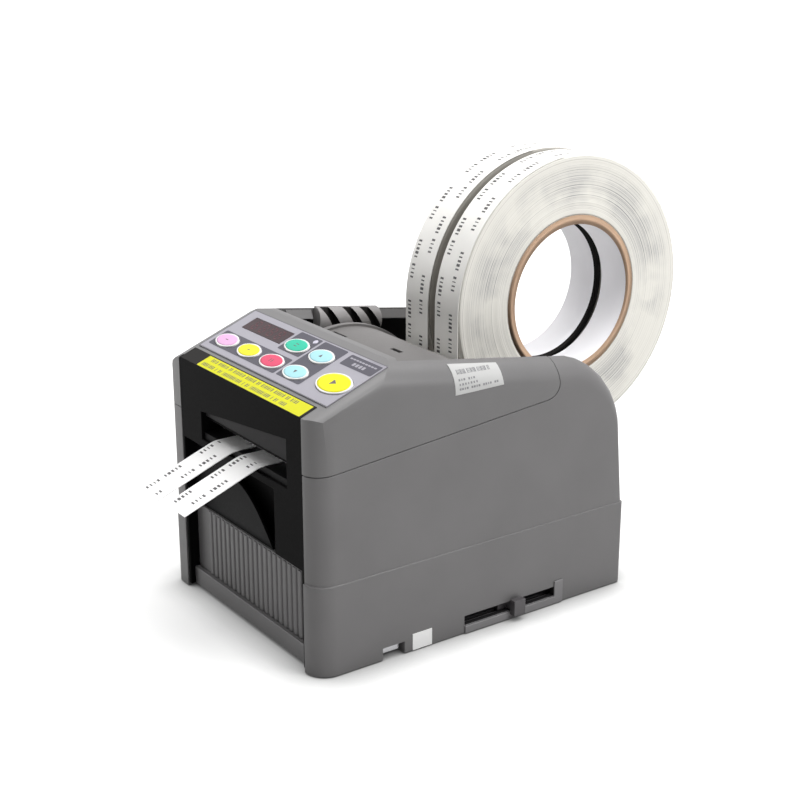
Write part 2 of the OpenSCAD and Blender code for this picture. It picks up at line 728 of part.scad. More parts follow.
disc_t = 3;
module crank_disc() color("goldenrod") placed() {
    rod(crank_y, crank_z, 2 * crank_throw + pin_d + 5, frame_out + 1, frame_out + 1 + disc_t);
    rod(crank_y, crank_z, spindle_d, frame_in - spindle_in + 0.5, frame_out + 1);
    rod(pin_rest_y, pin_rest_z, pin_d, frame_out + 1 + disc_t, arm_x + carriage_arm_t + 0.5);
}

// Bay

dome_r = 52;
dome_t = 2;
dome_y = 76;
dome_top = 136;
dome_ends = [panel_rear + 1.5, guide_y + 3];
dome_x = -24;
dome_rim = [3, 1.5];
dome_slot = [20, 28.5, 74.6, 77];
dome_notch = [-22, -10, 60, 70];
function dome_angle(y) = acos((y - dome_y) / dome_r);

// Bent cover over the feed unit, with a raised rim at its far end
module feed_cover() color("lightgray") placed() difference() {
    union() {
        bent_sheet(dome_y, dome_top - dome_r, dome_r - dome_t, dome_t, dome_angle(dome_ends[1]),
            dome_angle(dome_ends[0]), dome_x, in_x);
        bent_sheet(dome_y, dome_top - dome_r, dome_r - dome_t, dome_t + dome_rim[1], dome_angle(dome_ends[1]),
            dome_angle(dome_ends[0]), dome_x - dome_rim[0], dome_x);
    }
    for (c = [dome_slot, dome_notch]) box([c[0], c[2], dome_top - dome_r], [c[1], c[3], 2 * front_h]);
}

liner_t = 0.6;
liner_low = 60;
liner_drop = 7.5;
liner_ends = [panel_rear + 4, 150];
vent_ends = [79.5, 118.5];
vent_r = 7.5;
vent_slot = 4.5;
vent_web = 2;
vent_slant = 26;
vent_places = [0.24, 0.6, 0.88];

// Round bar along the top of the far cheek
module vent_bar(r) translate([-in_x, vent_ends[0], roof_at(vent_ends[0]) - vent_r - fit_gap])
    rotate([-90 - roof_fall, 0, 0]) cylinder(r = r, h = (vent_ends[1] - vent_ends[0]) / cos(roof_fall));

// Dark lining on the inner face of the far cheek
module left_liner() color("black") placed() difference() {
    along_x(-in_x, -in_x + liner_t) polygon([[liner_ends[0], liner_low], [liner_ends[1], liner_low],
        [liner_ends[1], roof_at(liner_ends[1]) - liner_drop], [liner_ends[0], roof_at(liner_ends[0]) - liner_drop]]);
    vent_bar(vent_r + fit_gap);
}

// Half-round block with three slanted vents
module vent_block() color("gray") placed() difference() {
    vent_bar(vent_r);
    box([-body_w, 0, 0], [-in_x, body_len, 2 * front_h]);
    for (i = vent_places) let (y = vent_ends[0] + i * (vent_ends[1] - vent_ends[0]))
        translate([-in_x + vent_web, y, roof_at(y) - vent_r]) rotate([vent_slant, 0, 0])
            translate([0, -vent_slot / 2, -2 * vent_r]) cube([2 * vent_r, vent_slot, 4 * vent_r]);
}

function around_roll(a) = [roll_y + support_dist * cos(a), roll_z + support_dist * sin(a)];
cradle_x = roll_half + 2;
cradle_t = 3.5;
cradle_rim = 8;
rear_rim = 7;
cradle_foot = 3;
axle_d = 6;
front_at = around_roll(front_support);
rear_at = around_roll(rear_support);
rear_slant = 17;

// Bracket with two side plates that hold the support rollers
module roll_cradle() color("gray") placed() difference() {
    union() {
        box([-cradle_x - cradle_t, front_at[0] - cradle_rim, floor_z],
            [cradle_x + cradle_t, rear_in - 2, floor_z + cradle_foot]);
        for (s = [0, 1]) mirror([s, 0, 0]) along_x(cradle_x, cradle_x + cradle_t) {
            translate(front_at) circle(cradle_rim);
            translate(rear_at) circle(rear_rim);
            polygon([[front_at[0] - cradle_rim, floor_z], [rear_in - 2, floor_z], [rear_in - 2, rear_wall_h + 2],
                rear_at + rear_rim * [sin(rear_slant), -cos(rear_slant)], [rear_at[0], rear_at[1] + rear_rim],
                [front_at[0], front_at[1] + cradle_rim], [front_at[0] - cradle_rim, front_at[1]]]);
        }
    }
    for (p = [front_at, rear_at]) rod(p[0], p[1], axle_d + 2 * play, -half_w, half_w);
}
module support_roller(p) color("whitesmoke") placed() {
    rod(p[0], p[1], 2 * guide_r, -cradle_x + 0.5, cradle_x - 0.5);
    rod(p[0], p[1], axle_d, -cradle_x - cradle_t - 1, cradle_x + cradle_t + 1);
}
module front_support_roller() support_roller(front_at);
module rear_support_roller() support_roller(rear_at);

// Tape

core_r = core_id / 2 + core_t;
module ring(r_out, r_in, x0, x1) difference() {
    rod(roll_y, roll_z, 2 * r_out, x0, x1, $fn = 128);
    rod(roll_y, roll_z, 2 * r_in, x0 - 1, x1 + 1, $fn = 128);
}
module near_roll() color("whitesmoke") placed() ring(roll_r, core_r, tape_gap / 2, roll_half);
module far_roll() color("whitesmoke") placed() ring(roll_r, core_r, -roll_half, -tape_gap / 2);
module near_core() color("tan") placed() ring(core_r, core_id / 2, tape_gap / 2, roll_half);
module far_core() color("tan") placed() ring(core_r, core_id / 2, -roll_half, -tape_gap / 2);

// Tape from the roll to the blade, and the cut strip in front of it
module tape_path(x0, x1, hang) {
    bend = guide_r + run_gap;
    box([x0, guide_y + bend, guide_z], [x1, guide_y + bend + tape_t, roll_z]);
    bent_sheet(guide_y, guide_z, bend, tape_t, 270, 360, x0, x1);
    box([x0, cut_y + fit_gap, tape_z], [x1, guide_y, tape_z + tape_t]);
    box([x0, lip_y, tape_z], [x1, strip_y, tape_z + tape_t]);
    bent_sheet(lip_y, tape_z - hang_r, hang_r, tape_t, 90, 90 + hang_turn, x0, x1);
    along_x(x0, x1) translate([lip_y, tape_z - hang_r]) rotate(hang_turn) translate([-hang, hang_r])
        square([hang + 0.01, tape_t]);
}
module near_tape() color("white") placed() tape_path(tape_gap / 2, roll_half, near_hang);
module far_tape() color("white") placed() tape_path(-roll_half, -tape_gap / 2, far_hang);

// Electrics

module control_board() color("darkgreen") placed() {
    z = floor_z + standoff_h;
    box([-30, 58, z], [30, 110, z + board_t]);
    for (x = [-20, -4, 12]) translate([x, 100, z + board_t]) cylinder(d = 8, h = 11);
    box([-16, 66, z + board_t], [-2, 80, z + board_t + 2]);
    box([6, 64, z + board_t], [26, 72, z + board_t + 9]);
}

module power_jack() color("black") placed() translate([jack[0], 0, jack[1]]) {
    difference() {
        union() {
            translate([-7, rear_in - 12, -6]) cube([14, 12, 12]);
            translate([0, rear_in, 0]) rotate([-90, 0, 0]) cylinder(d = jack[2], h = rear_wall);
        }
        translate([0, body_len - 9.5, 0]) rotate([-90, 0, 0]) cylinder(d = 5.5, h = 20);
    }
    translate([0, body_len - 10, 0]) rotate([-90, 0, 0]) cylinder(d = 2, h = 9);
}

// Side fittings

rail_end = 5.4;
module side_rail() color("darkgray") placed() along_x(half_w, half_w + rail_t)
    polygon([[slot_y0, skirt_low], [slot_y0 + slot_len + rail_end, skirt_low], [slot_y0 + slot_len + rail_end, 13],
        [slot_y0 + slot_len, 13], [slot_y0 + slot_len, slot_z0 - 0.4], [slot_y0, slot_z0 - 0.4]]);

slider_y = 116.2;
slider_w = 7;

// Knob outside, stem through the slot and a plate behind the wall
module side_slider() color("dimgray") placed() {
    z0 = slot_z0 + run_gap;
    z1 = slot_z0 + slot_h - run_gap;
    x0 = half_w - skin_t - run_gap;
    box([x0 - 3.5, slider_y - 8, floor_z + run_gap], [x0, slider_y + 8, pocket[2] - run_gap]);
    box([x0, slider_y - slider_w / 2 + 0.5, z0], [knob_x, slider_y + slider_w / 2 - 0.5, z1]);
    box([knob_x, slider_y - slider_w / 2, z0 - 2], [knob_x + knob_len, slider_y + slider_w / 2, z1 + 2]);
}

module base_clip() color("silver") placed()
    box([plate_x, notch[0] + 1, foot_h + 0.3], [plate_x + 3, notch[1] - 1, notch[2] - 1]);

sticker = [53.6, 65, 2.4, 9.4];
tag = [78, 107, 124.5];
tag_in = 4;

// Blank stickers: one low on the side, one wrapped over the cheek top
module labels() color("white") placed() {
    box([half_w, sticker[0], sticker[2]], [half_w + fit_gap, sticker[1], sticker[3]]);
    difference() {
        intersection() {
            upper_block(fit_gap - belt_step);
            box([in_x + tag_in, tag[0], tag[2]], [body_w, tag[1], 2 * front_h]);
        }
        upper_block(-belt_step);
    }
}

main_body();
top_cover();
bottom_plate();
feet();
base_screws();
front_bezel();
guide_plate();
exit_chute();
inner_shield();
ribbed_panel();
control_sheet();
caution_strip();
display_window();
digit_display();
display_board();
indicator_led();
for (i = [0 : len(keys) - 1]) button(i);
left_frame();
right_frame();
frame_spacers();
shaft_bushes();
tape_table();
blade_bed();
fixed_blade();
blade_posts();
blade_carriage();
moving_blade();
crank_disc();
cutter_motor();
feed_roller();
feed_gear();
feed_motor();
motor_pinion();
pinch_arms();
pinch_roller();
guide_roller();
feed_cover();
left_liner();
vent_block();
roll_cradle();
front_support_roller();
rear_support_roller();
near_roll();
near_core();
far_roll();
far_core();
near_tape();
far_tape();
control_board();
power_jack();
side_rail();
side_slider();
base_clip();
labels();
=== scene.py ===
"""Looks of a desk machine that feeds tape from two rolls and cuts it to length."""
import json
import math
import random

import bmesh
import bpy
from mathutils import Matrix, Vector
from mathutils.bvhtree import BVHTree

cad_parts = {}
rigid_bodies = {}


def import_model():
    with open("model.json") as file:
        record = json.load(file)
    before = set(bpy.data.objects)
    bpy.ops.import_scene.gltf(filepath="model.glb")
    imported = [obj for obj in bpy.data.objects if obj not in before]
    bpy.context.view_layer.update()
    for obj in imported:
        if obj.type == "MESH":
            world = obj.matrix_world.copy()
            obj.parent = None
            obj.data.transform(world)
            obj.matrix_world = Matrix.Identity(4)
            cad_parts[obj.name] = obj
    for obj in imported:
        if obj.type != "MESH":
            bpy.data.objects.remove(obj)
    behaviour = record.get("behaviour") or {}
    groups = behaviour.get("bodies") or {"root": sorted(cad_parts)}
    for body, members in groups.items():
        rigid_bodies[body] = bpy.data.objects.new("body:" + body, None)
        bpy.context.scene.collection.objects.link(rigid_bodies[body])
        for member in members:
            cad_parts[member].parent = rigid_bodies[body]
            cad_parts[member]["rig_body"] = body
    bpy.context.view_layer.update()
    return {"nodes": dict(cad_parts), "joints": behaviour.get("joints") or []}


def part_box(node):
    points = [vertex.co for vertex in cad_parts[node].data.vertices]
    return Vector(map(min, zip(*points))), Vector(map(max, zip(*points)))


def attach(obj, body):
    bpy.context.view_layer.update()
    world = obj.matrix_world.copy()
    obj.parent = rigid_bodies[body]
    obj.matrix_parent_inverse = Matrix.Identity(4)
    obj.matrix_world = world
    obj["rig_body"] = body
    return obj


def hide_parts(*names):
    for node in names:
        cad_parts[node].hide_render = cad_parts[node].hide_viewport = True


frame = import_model()
nodes = frame["nodes"]
scene = bpy.context.scene
scene.view_settings.view_transform = "Standard"


# Studio: a pale floor, a white surround and large soft lamps.
# The camera stands in front of the machine's near corner, a little above it,
# at the distance and lens solved from the straight edges of the housing.
MM = 0.001
body_low, body_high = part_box("bottom_plate")
centre_x = (body_low.x + body_high.x) / 2
front_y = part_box("main_body")[0].y


def spot(x, y, z):
    """Point given in millimetres from the housing's front centre on the floor."""
    return Vector((centre_x + x * MM, front_y + y * MM, z * MM))


def node_material(name):
    """Empty material with its shader; returns the material, its nodes and the shader."""
    material = bpy.data.materials.new(name)
    material.use_nodes = True
    tree = material.node_tree
    return material, tree, tree.nodes["Principled BSDF"]


def add(tree, kind, **settings):
    """Adds a node and sets its properties, or its inputs where the name is one."""
    node = tree.nodes.new(kind)
    for key, value in settings.items():
        if key in node.inputs:
            node.inputs[key].default_value = value
        else:
            setattr(node, key, value)
    return node


def seen_directly(tree):
    """Is 1 for rays from the camera, mirrors and glass, and 0 for the light that bounces."""
    path = add(tree, "ShaderNodeLightPath")
    total = path.outputs["Is Camera Ray"]
    for kind in ("Is Glossy Ray", "Is Transmission Ray"):
        plus = add(tree, "ShaderNodeMath", operation="ADD", use_clamp=True)
        tree.links.new(total, plus.inputs[0])
        tree.links.new(path.outputs[kind], plus.inputs[1])
        total = plus.outputs[0]
    return total


floor_size = 6.0
floor_mesh = bpy.data.meshes.new("floor")
corners = [(-1, -1), (1, -1), (1, 1), (-1, 1)]
floor_mesh.from_pydata([(x * floor_size, y * floor_size, 0) for x, y in corners], [], [(0, 1, 2, 3)])
floor = bpy.data.objects.new("floor", floor_mesh)
scene.collection.objects.link(floor)
floor_paint, tree, shader = node_material("floor_paint")
link = tree.links.new
floor_colour = (0.62, 0.62, 0.615, 1)
# Painted contact shadow: an ambient occlusion term darkens the floor colour and its glow next to the machine, and
# the glow also fades to half close to it.
contact_reach, contact_power = 0.022, 1.1
contact = add(tree, "ShaderNodeAmbientOcclusion", Distance=contact_reach, samples=12)
contact_shade = add(tree, "ShaderNodeMath", operation="POWER")
contact_shade.inputs[1].default_value = contact_power
floor_painted_shadow = add(tree, "ShaderNodeMixRGB", blend_type="MULTIPLY", Fac=1.0, Color1=floor_colour)
link(contact.outputs["AO"], contact_shade.inputs[0])
link(contact_shade.outputs[0], floor_painted_shadow.inputs["Color2"])
link(floor_painted_shadow.outputs[0], shader.inputs["Base Color"])
shader.inputs["Roughness"].default_value = 0.9
floor_glow = add(tree, "ShaderNodeEmission")
place = add(tree, "ShaderNodeTexCoord")
reach = add(tree, "ShaderNodeVectorMath", operation="LENGTH")
fade = add(tree, "ShaderNodeMapRange", interpolation_type="SMOOTHSTEP",
           **{"From Min": 0.22, "From Max": 0.75, "To Min": 0.5, "To Max": 1.0})
shaded_fade = add(tree, "ShaderNodeMath", operation="MULTIPLY")
glow_level = add(tree, "ShaderNodeMath", operation="MULTIPLY")
lit_and_glow = add(tree, "ShaderNodeAddShader")
link(place.outputs["Object"], reach.inputs[0])
link(reach.outputs["Value"], fade.inputs["Value"])
link(fade.outputs["Result"], shaded_fade.inputs[0])
link(contact_shade.outputs[0], shaded_fade.inputs[1])
link(shaded_fade.outputs[0], glow_level.inputs[1])
link(seen_directly(tree), glow_level.inputs[0])
link(glow_level.outputs[0], floor_glow.inputs["Strength"])
link(shader.outputs[0], lit_and_glow.inputs[0])
link(floor_glow.outputs[0], lit_and_glow.inputs[1])
link(lit_and_glow.outputs[0], tree.nodes["Material Output"].inputs["Surface"])
floor_mesh.materials.append(floor_paint)

world = bpy.data.worlds.new("studio")
scene.world = world
world.use_nodes = True
tree = world.node_tree
surround = tree.nodes["Background"]
surround.inputs["Color"].default_value = (1, 1, 1, 1)
surround_level = 0.06
level = add(tree, "ShaderNodeMath", operation="MULTIPLY_ADD")
level.inputs[1].default_value = 1 - surround_level
level.inputs[2].default_value = surround_level
tree.links.new(seen_directly(tree), level.inputs[0])
tree.links.new(level.outputs[0], surround.inputs["Strength"])

machine_centre = spot(0, 110, 80)


def lamp(name, place, size, power):
    """Square soft lamp that faces the machine."""
    data = bpy.data.lights.new(name, "AREA")
    data.size = size
    data.energy = power
    obj = bpy.data.objects.new(name, data)
    obj.location = place
    obj.rotation_euler = (place - machine_centre).to_track_quat("Z", "Y").to_euler()
    scene.collection.objects.link(obj)


lamp("overhead_lamp", Vector((0.1, 0.25, 1.6)), 1.4, 31)
lamp("side_lamp", Vector((0.85, 0.28, 0.75)), 0.5, 5.6)
lamp("left_lamp", Vector((-1.0, -0.2, 1.2)), 0.9, 4)
lamp("front_left_lamp", Vector((-0.9, -0.7, 0.5)), 0.6, 3.2)

photo_azimuth = math.radians(54.745)
photo_elevation = math.radians(18.62)
camera_data = bpy.data.cameras.new("camera")
camera_data.sensor_width = 36
camera_data.lens = 68.79
camera = bpy.data.objects.new("camera", camera_data)
camera.location = spot(601.1, -329.9, 348.3)
backward = Vector((math.sin(photo_azimuth) * math.cos(photo_elevation),
                   -math.cos(photo_azimuth) * math.cos(photo_elevation), math.sin(photo_elevation)))
camera.rotation_euler = backward.to_track_quat("Z", "Y").to_euler()
scene.collection.objects.link(camera)
scene.camera = camera


# Housing: two grey mouldings, the main body with its skirt and cheeks, and the
# top cover that carries the sloping panel. The plastic is finely grained ABS,
# and the cover sits on the body along a thin seam.
def grained(name, colour, rough=0.5, grain=900.0, depth=0.05, uneven=0.06, coat=0.0, shine=0.5):
    """Moulded plastic: a fine grain in the surface and a faint change of tone."""
    material, tree, shader = node_material(name)
    link = tree.links.new
    place = add(tree, "ShaderNodeTexCoord")
    cloud = add(tree, "ShaderNodeTexNoise", Scale=28.0, Detail=3.0)
    tone = add(tree, "ShaderNodeValToRGB")
    tone.color_ramp.elements[0].position = 0.3
    tone.color_ramp.elements[1].position = 0.7
    tone.color_ramp.elements[0].color = [c * (1 - uneven) for c in colour] + [1]
    tone.color_ramp.elements[1].color = [min(1, c * (1 + uneven)) for c in colour] + [1]
    pits = add(tree, "ShaderNodeTexNoise", Scale=grain, Detail=2.0)
    gloss = add(tree, "ShaderNodeMapRange", **{"To Min": rough - 0.07, "To Max": rough + 0.07})
    bump = add(tree, "ShaderNodeBump", Strength=depth, Distance=0.0004)
    link(place.outputs["Object"], cloud.inputs["Vector"])
    link(place.outputs["Object"], pits.inputs["Vector"])
    link(cloud.outputs["Fac"], tone.inputs["Fac"])
    link(tone.outputs["Color"], shader.inputs["Base Color"])
    link(pits.outputs["Fac"], gloss.inputs["Value"])
    link(gloss.outputs["Result"], shader.inputs["Roughness"])
    link(pits.outputs["Fac"], bump.inputs["Height"])
    link(bump.outputs["Normal"], shader.inputs["Normal"])
    shader.inputs["Coat Weight"].default_value = coat
    shader.inputs["Specular IOR Level"].default_value = shine
    return material


def finish_edges(piece, width, segments, crease=32):
    """Rounds the sharp edges of a piece and evens its shading."""
    bevel = piece.modifiers.new("round", "BEVEL")
    bevel.width = width * MM
    bevel.segments = segments
    bevel.limit_method = "ANGLE"
    bevel.angle_limit = math.radians(crease)
    bevel.use_clamp_overlap = True
    even = piece.modifiers.new("even", "WEIGHTED_NORMAL")
    even.keep_sharp = True


def body_of_node(node):
    """Name of the rigid body that a CAD node belongs to."""
    return nodes[node]["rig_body"]


def dress(node, material, width=0.3, segments=2, crease=32):
    """Copy of a CAD node with merged corners, rounded edges and a finish."""
    mesh = nodes[node].data.copy()
    mesh.materials.clear()
    mesh.materials.append(material)
    shape = bmesh.new()
    shape.from_mesh(mesh)
    bmesh.ops.remove_doubles(shape, verts=shape.verts, dist=1e-6)
    bmesh.ops.dissolve_limit(shape, angle_limit=math.radians(0.6), verts=shape.verts, edges=shape.edges)
    for face in shape.faces:
        face.smooth = True
        face.material_index = 0
    for edge in shape.edges:
        edge.smooth = edge.calc_face_angle(0) < math.radians(crease)
    shape.to_mesh(mesh)
    shape.free()
    piece = bpy.data.objects.new(node + "_piece", mesh)
    scene.collection.objects.link(piece)
    finish_edges(piece, width, segments, crease)
    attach(piece, body_of_node(node))
    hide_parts(node)
    return piece


def second_finish(piece, finish, chosen):
    """Gives the faces that a test picks another finish."""
    piece.data.materials.append(finish)
    for face in piece.data.polygons:
        if chosen(face):
            face.material_index = 1


def opening_wall(face):
    """Tells whether a face lies in the slot or the notch of the skirt."""
    in_skirt = face.center.z < skirt_top and skirt_x < face.center.x
    inner_wall = abs(face.normal.x) < 0.5 and abs(face.normal.y) + face.normal.z > 0.6
    return in_skirt and inner_wall and openings_front < face.center.y < openings_rear


housing_grey = grained("housing_grey", (0.147, 0.143, 0.1445), rough=0.46, grain=1500, depth=0.05)
cover_grey = grained("cover_grey", (0.149, 0.146, 0.147), rough=0.44, grain=1500, depth=0.05)
# Painted shade: a near black finish on the walls of the skirt's slot and notch.
painted_slot_shade = grained("painted_slot_shade", (0.022, 0.021, 0.022), rough=0.6, grain=900, depth=0.05, shine=0.1)
body_shell = dress("main_body", housing_grey, width=0.45, segments=3, crease=30)
skirt_x = body_high.x + 2 * MM
skirt_top = 10 * MM
openings_front, openings_rear = spot(0, 30, 0).y, spot(0, 143, 0).y
second_finish(body_shell, painted_slot_shade, opening_wall)
dress("top_cover", cover_grey, width=0.45, segments=3, crease=30)


# Base: a dull phosphated steel plate closes the underside. It stands on four
# turned rubber feet and is held by pan head screws.
def metal(name, colour, rough=0.35, brush=(40.0, 1200.0, 40.0), depth=0.03):
    """Bare or plated metal with fine drawn lines."""
    material, tree, shader = node_material(name)
    link = tree.links.new
    place = add(tree, "ShaderNodeTexCoord")
    stretch = add(tree, "ShaderNodeMapping", Scale=brush)
    lines = add(tree, "ShaderNodeTexNoise", Scale=1.0, Detail=4.0)
    gloss = add(tree, "ShaderNodeMapRange", **{"To Min": max(0.05, rough - 0.12), "To Max": rough + 0.12})
    bump = add(tree, "ShaderNodeBump", Strength=depth, Distance=0.0002)
    link(place.outputs["Object"], stretch.inputs["Vector"])
    link(stretch.outputs["Vector"], lines.inputs["Vector"])
    link(lines.outputs["Fac"], gloss.inputs["Value"])
    link(gloss.outputs["Result"], shader.inputs["Roughness"])
    link(lines.outputs["Fac"], bump.inputs["Height"])
    link(bump.outputs["Normal"], shader.inputs["Normal"])
    shader.inputs["Base Color"].default_value = (*colour, 1)
    shader.inputs["Metallic"].default_value = 1.0
    return material


zinc_plate = metal("zinc_plate", (0.56, 0.56, 0.58), rough=0.42)
bright_steel = metal("bright_steel", (0.68, 0.68, 0.70), rough=0.24)
soft_rubber = grained("soft_rubber", (0.018, 0.018, 0.019), rough=0.8, grain=700, depth=0.12)
dull_steel = metal("dull_steel", (0.10, 0.10, 0.104), rough=0.55)
plate = dress("bottom_plate", dull_steel)
# The plate's outer edge gets the same painted slot shade.
second_finish(plate, painted_slot_shade, lambda face: face.center.x > body_high.x - 2 * MM)
dress("feet", soft_rubber, width=0.5, segments=3)
dress("base_screws", bright_steel, width=0.4, segments=3)


# Black front: a satin moulding that frames the outlet, the dark plate behind
# the outlet's slanted upper edge, the bent apron below and the shield that
# closes the recess.
satin_black = grained("satin_black", (0.0035, 0.0033, 0.0035), rough=0.55, grain=1100, depth=0.07, shine=0.025)
guide_grey = grained("guide_grey", (0.024, 0.023, 0.024), rough=0.45, grain=900, depth=0.05, shine=0.06)
apron_black = grained("apron_black", (0.004, 0.004, 0.0043), rough=0.48, grain=800, depth=0.05, shine=0.05)
dress("front_bezel", satin_black, width=0.4, segments=3)
dress("guide_plate", guide_grey)
dress("exit_chute", apron_black)
dress("inner_shield", satin_black)


# Ribbed panel: the lower front is a grey moulding with a plain end and a row
# of upright half-round ribs, made in one shot with the panel.
def solid_box(low, high):
    """Box mesh between two corners, in metres."""
    shape = bmesh.new()
    bmesh.ops.create_cube(shape, size=1.0)
    size = high - low
    bmesh.ops.scale(shape, vec=size, verts=shape.verts)
    bmesh.ops.translate(shape, vec=(low + high) / 2, verts=shape.verts)
    return shape


def new_piece(name, shape, finish, body, replaced=(), edge=0.0):
    """Turns a bmesh into a piece that rides on a body and stands for CAD nodes."""
    mesh = bpy.data.meshes.new(name)
    shape.to_mesh(mesh)
    shape.free()
    for material in finish if isinstance(finish, list) else [finish]:
        mesh.materials.append(material)
    piece = bpy.data.objects.new(name, mesh)
    scene.collection.objects.link(piece)
    if edge:
        finish_edges(piece, edge, 2)
    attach(piece, body)
    if replaced:
        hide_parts(*replaced)
    return piece


def name_inputs(tree, kinds):
    """Adds named inputs to a geometry node tree."""
    for name, kind in kinds.items():
        tree.interface.new_socket(name=name, in_out="INPUT", socket_type="NodeSocket" + kind)


def close_tree(tree, copies, way_in, way_out):
    """Makes the copies real, gives them their material and ends the tree."""
    real = add(tree, "GeometryNodeRealizeInstances")
    painted = add(tree, "GeometryNodeSetMaterial")
    tree.links.new(copies.outputs[0], real.inputs[0])
    tree.links.new(real.outputs[0], painted.inputs["Geometry"])
    tree.links.new(way_in.outputs["Material"], painted.inputs["Material"])
    tree.links.new(painted.outputs[0], way_out.inputs[0])


def frozen(obj, name):
    """Plain mesh object of what a modifier makes, without the modifier."""
    bpy.context.view_layer.update()
    evaluated = obj.evaluated_get(bpy.context.evaluated_depsgraph_get())
    mesh = bpy.data.meshes.new_from_object(evaluated)
    mesh.name = name
    bpy.data.objects.remove(obj)
    piece = bpy.data.objects.new(name, mesh)
    scene.collection.objects.link(piece)
    return piece


def geometry_tree(name):
    """New geometry node tree with a geometry output, and its in and out nodes."""
    tree = bpy.data.node_groups.new(name, "GeometryNodeTree")
    tree.interface.new_socket(name="Geometry", in_out="INPUT", socket_type="NodeSocketGeometry")
    tree.interface.new_socket(name="Geometry", in_out="OUTPUT", socket_type="NodeSocketGeometry")
    return tree, tree.nodes.new("NodeGroupInput"), tree.nodes.new("NodeGroupOutput")


def run_tree(tree, name, values, mesh=None):
    """Runs a geometry node tree with named input values and freezes the result."""
    obj = bpy.data.objects.new(name + "_maker", mesh or bpy.data.meshes.new(name + "_seed"))
    scene.collection.objects.link(obj)
    modifier = obj.modifiers.new("maker", "NODES")
    modifier.node_group = tree
    for item in tree.interface.items_tree:
        if item.in_out == "INPUT" and item.name in values:
            modifier[item.identifier] = values[item.name]
    return frozen(obj, name)


rib_tree, rib_in, rib_out = geometry_tree("rib_row")
name_inputs(rib_tree, {"Count": "Int", "Start": "Vector", "Step": "Vector", "Height": "Float", "Width": "Float",
                       "Depth": "Float", "Fillet": "Float", "Material": "Material"})
link = rib_tree.links.new
row = add(rib_tree, "GeometryNodeMeshLine", mode="OFFSET")
link(rib_in.outputs["Count"], row.inputs["Count"])
link(rib_in.outputs["Start"], row.inputs["Start Location"])
link(rib_in.outputs["Step"], row.inputs["Offset"])
top_point = add(rib_tree, "ShaderNodeCombineXYZ")
link(rib_in.outputs["Height"], top_point.inputs["Z"])
upright = add(rib_tree, "GeometryNodeCurvePrimitiveLine")
link(top_point.outputs[0], upright.inputs["End"])
section = add(rib_tree, "GeometryNodeCurvePrimitiveQuadrilateral")
link(rib_in.outputs["Width"], section.inputs["Width"])
link(rib_in.outputs["Depth"], section.inputs["Height"])
rounded = add(rib_tree, "GeometryNodeFilletCurve", mode="POLY")
rounded.inputs["Count"].default_value = 4
link(section.outputs[0], rounded.inputs["Curve"])
link(rib_in.outputs["Fillet"], rounded.inputs["Radius"])
sweep = add(rib_tree, "GeometryNodeCurveToMesh")
sweep.inputs["Fill Caps"].default_value = True
link(upright.outputs[0], sweep.inputs["Curve"])
link(rounded.outputs[0], sweep.inputs["Profile Curve"])
copies = add(rib_tree, "GeometryNodeInstanceOnPoints")
link(row.outputs[0], copies.inputs["Points"])
link(sweep.outputs[0], copies.inputs["Instance"])
close_tree(rib_tree, copies, rib_in, rib_out)

rib_grey = grained("rib_grey", (0.128, 0.124, 0.126), rough=0.45, grain=1300, depth=0.05)
panel_low, panel_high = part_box("ribbed_panel")
rib_pitch = 4.55
rib_width = 3.3
rib_depth = 2.2
rib_rise = 0.6
rib_fillet = 0.8
rib_end_gap = 0.4
plain_end = 12.7
back_plate = solid_box(Vector((panel_low.x, panel_low.y + rib_rise * MM, panel_low.z)), panel_high)
new_piece("ribbed_panel_plate", back_plate, rib_grey, "machine", ["ribbed_panel"], edge=0.4)
rib_count = int(((panel_high.x - panel_low.x) / MM - plain_end - rib_width) / rib_pitch) + 1
ribs = run_tree(rib_tree, "panel_ribs", {
    "Count": rib_count,
    "Start": (panel_low.x + (plain_end + rib_width / 2) * MM, panel_low.y + rib_depth / 2 * MM,
              panel_low.z + rib_end_gap * MM),
    "Step": (rib_pitch * MM, 0, 0),
    "Height": panel_high.z - panel_low.z - 2 * rib_end_gap * MM,
    "Width": rib_width * MM,
    "Depth": rib_depth * MM,
    "Fillet": rib_fillet * MM,
    "Material": rib_grey})
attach(ribs, "machine")


# Key sheet: a printed film stuck to the sloping panel. Dark fields lie under
# the keys, a dark plate sits in the far corner, and the caution band along the
# front edge is a yellow film with black ends.
press_axis = Vector(next(j["axis"] for j in frame["joints"] if j["name"] == "start_button_press"))
panel_tilt = math.asin(press_axis.y)
panel_front_z = 125.5
sheet_t = 0.5


def on_panel(x, s, lift):
    """Point on the panel: x across, s up the slope, lift out of it, in millimetres."""
    return spot(x, s * math.cos(panel_tilt) - lift * math.sin(panel_tilt),
                panel_front_z + s * math.sin(panel_tilt) + lift * math.cos(panel_tilt))


def round_rect(x0, s0, x1, s1, radius, steps=5):
    """Corner points of a rectangle with round corners, anticlockwise."""
    points = []
    centres = [(x1 - radius, s0 + radius, -90), (x1 - radius, s1 - radius, 0),
               (x0 + radius, s1 - radius, 90), (x0 + radius, s0 + radius, 180)]
    for cx, cs, start in centres:
        for i in range(steps + 1):
            angle = math.radians(start + 90 * i / steps)
            points.append((cx + radius * math.cos(angle), cs + radius * math.sin(angle)))
    return points


def oval(x, s, width, length, steps=64):
    """Points of an oval, anticlockwise."""
    turn = 2 * math.pi / steps
    return [(x + width / 2 * math.cos(turn * i), s + length / 2 * math.sin(turn * i)) for i in range(steps)]


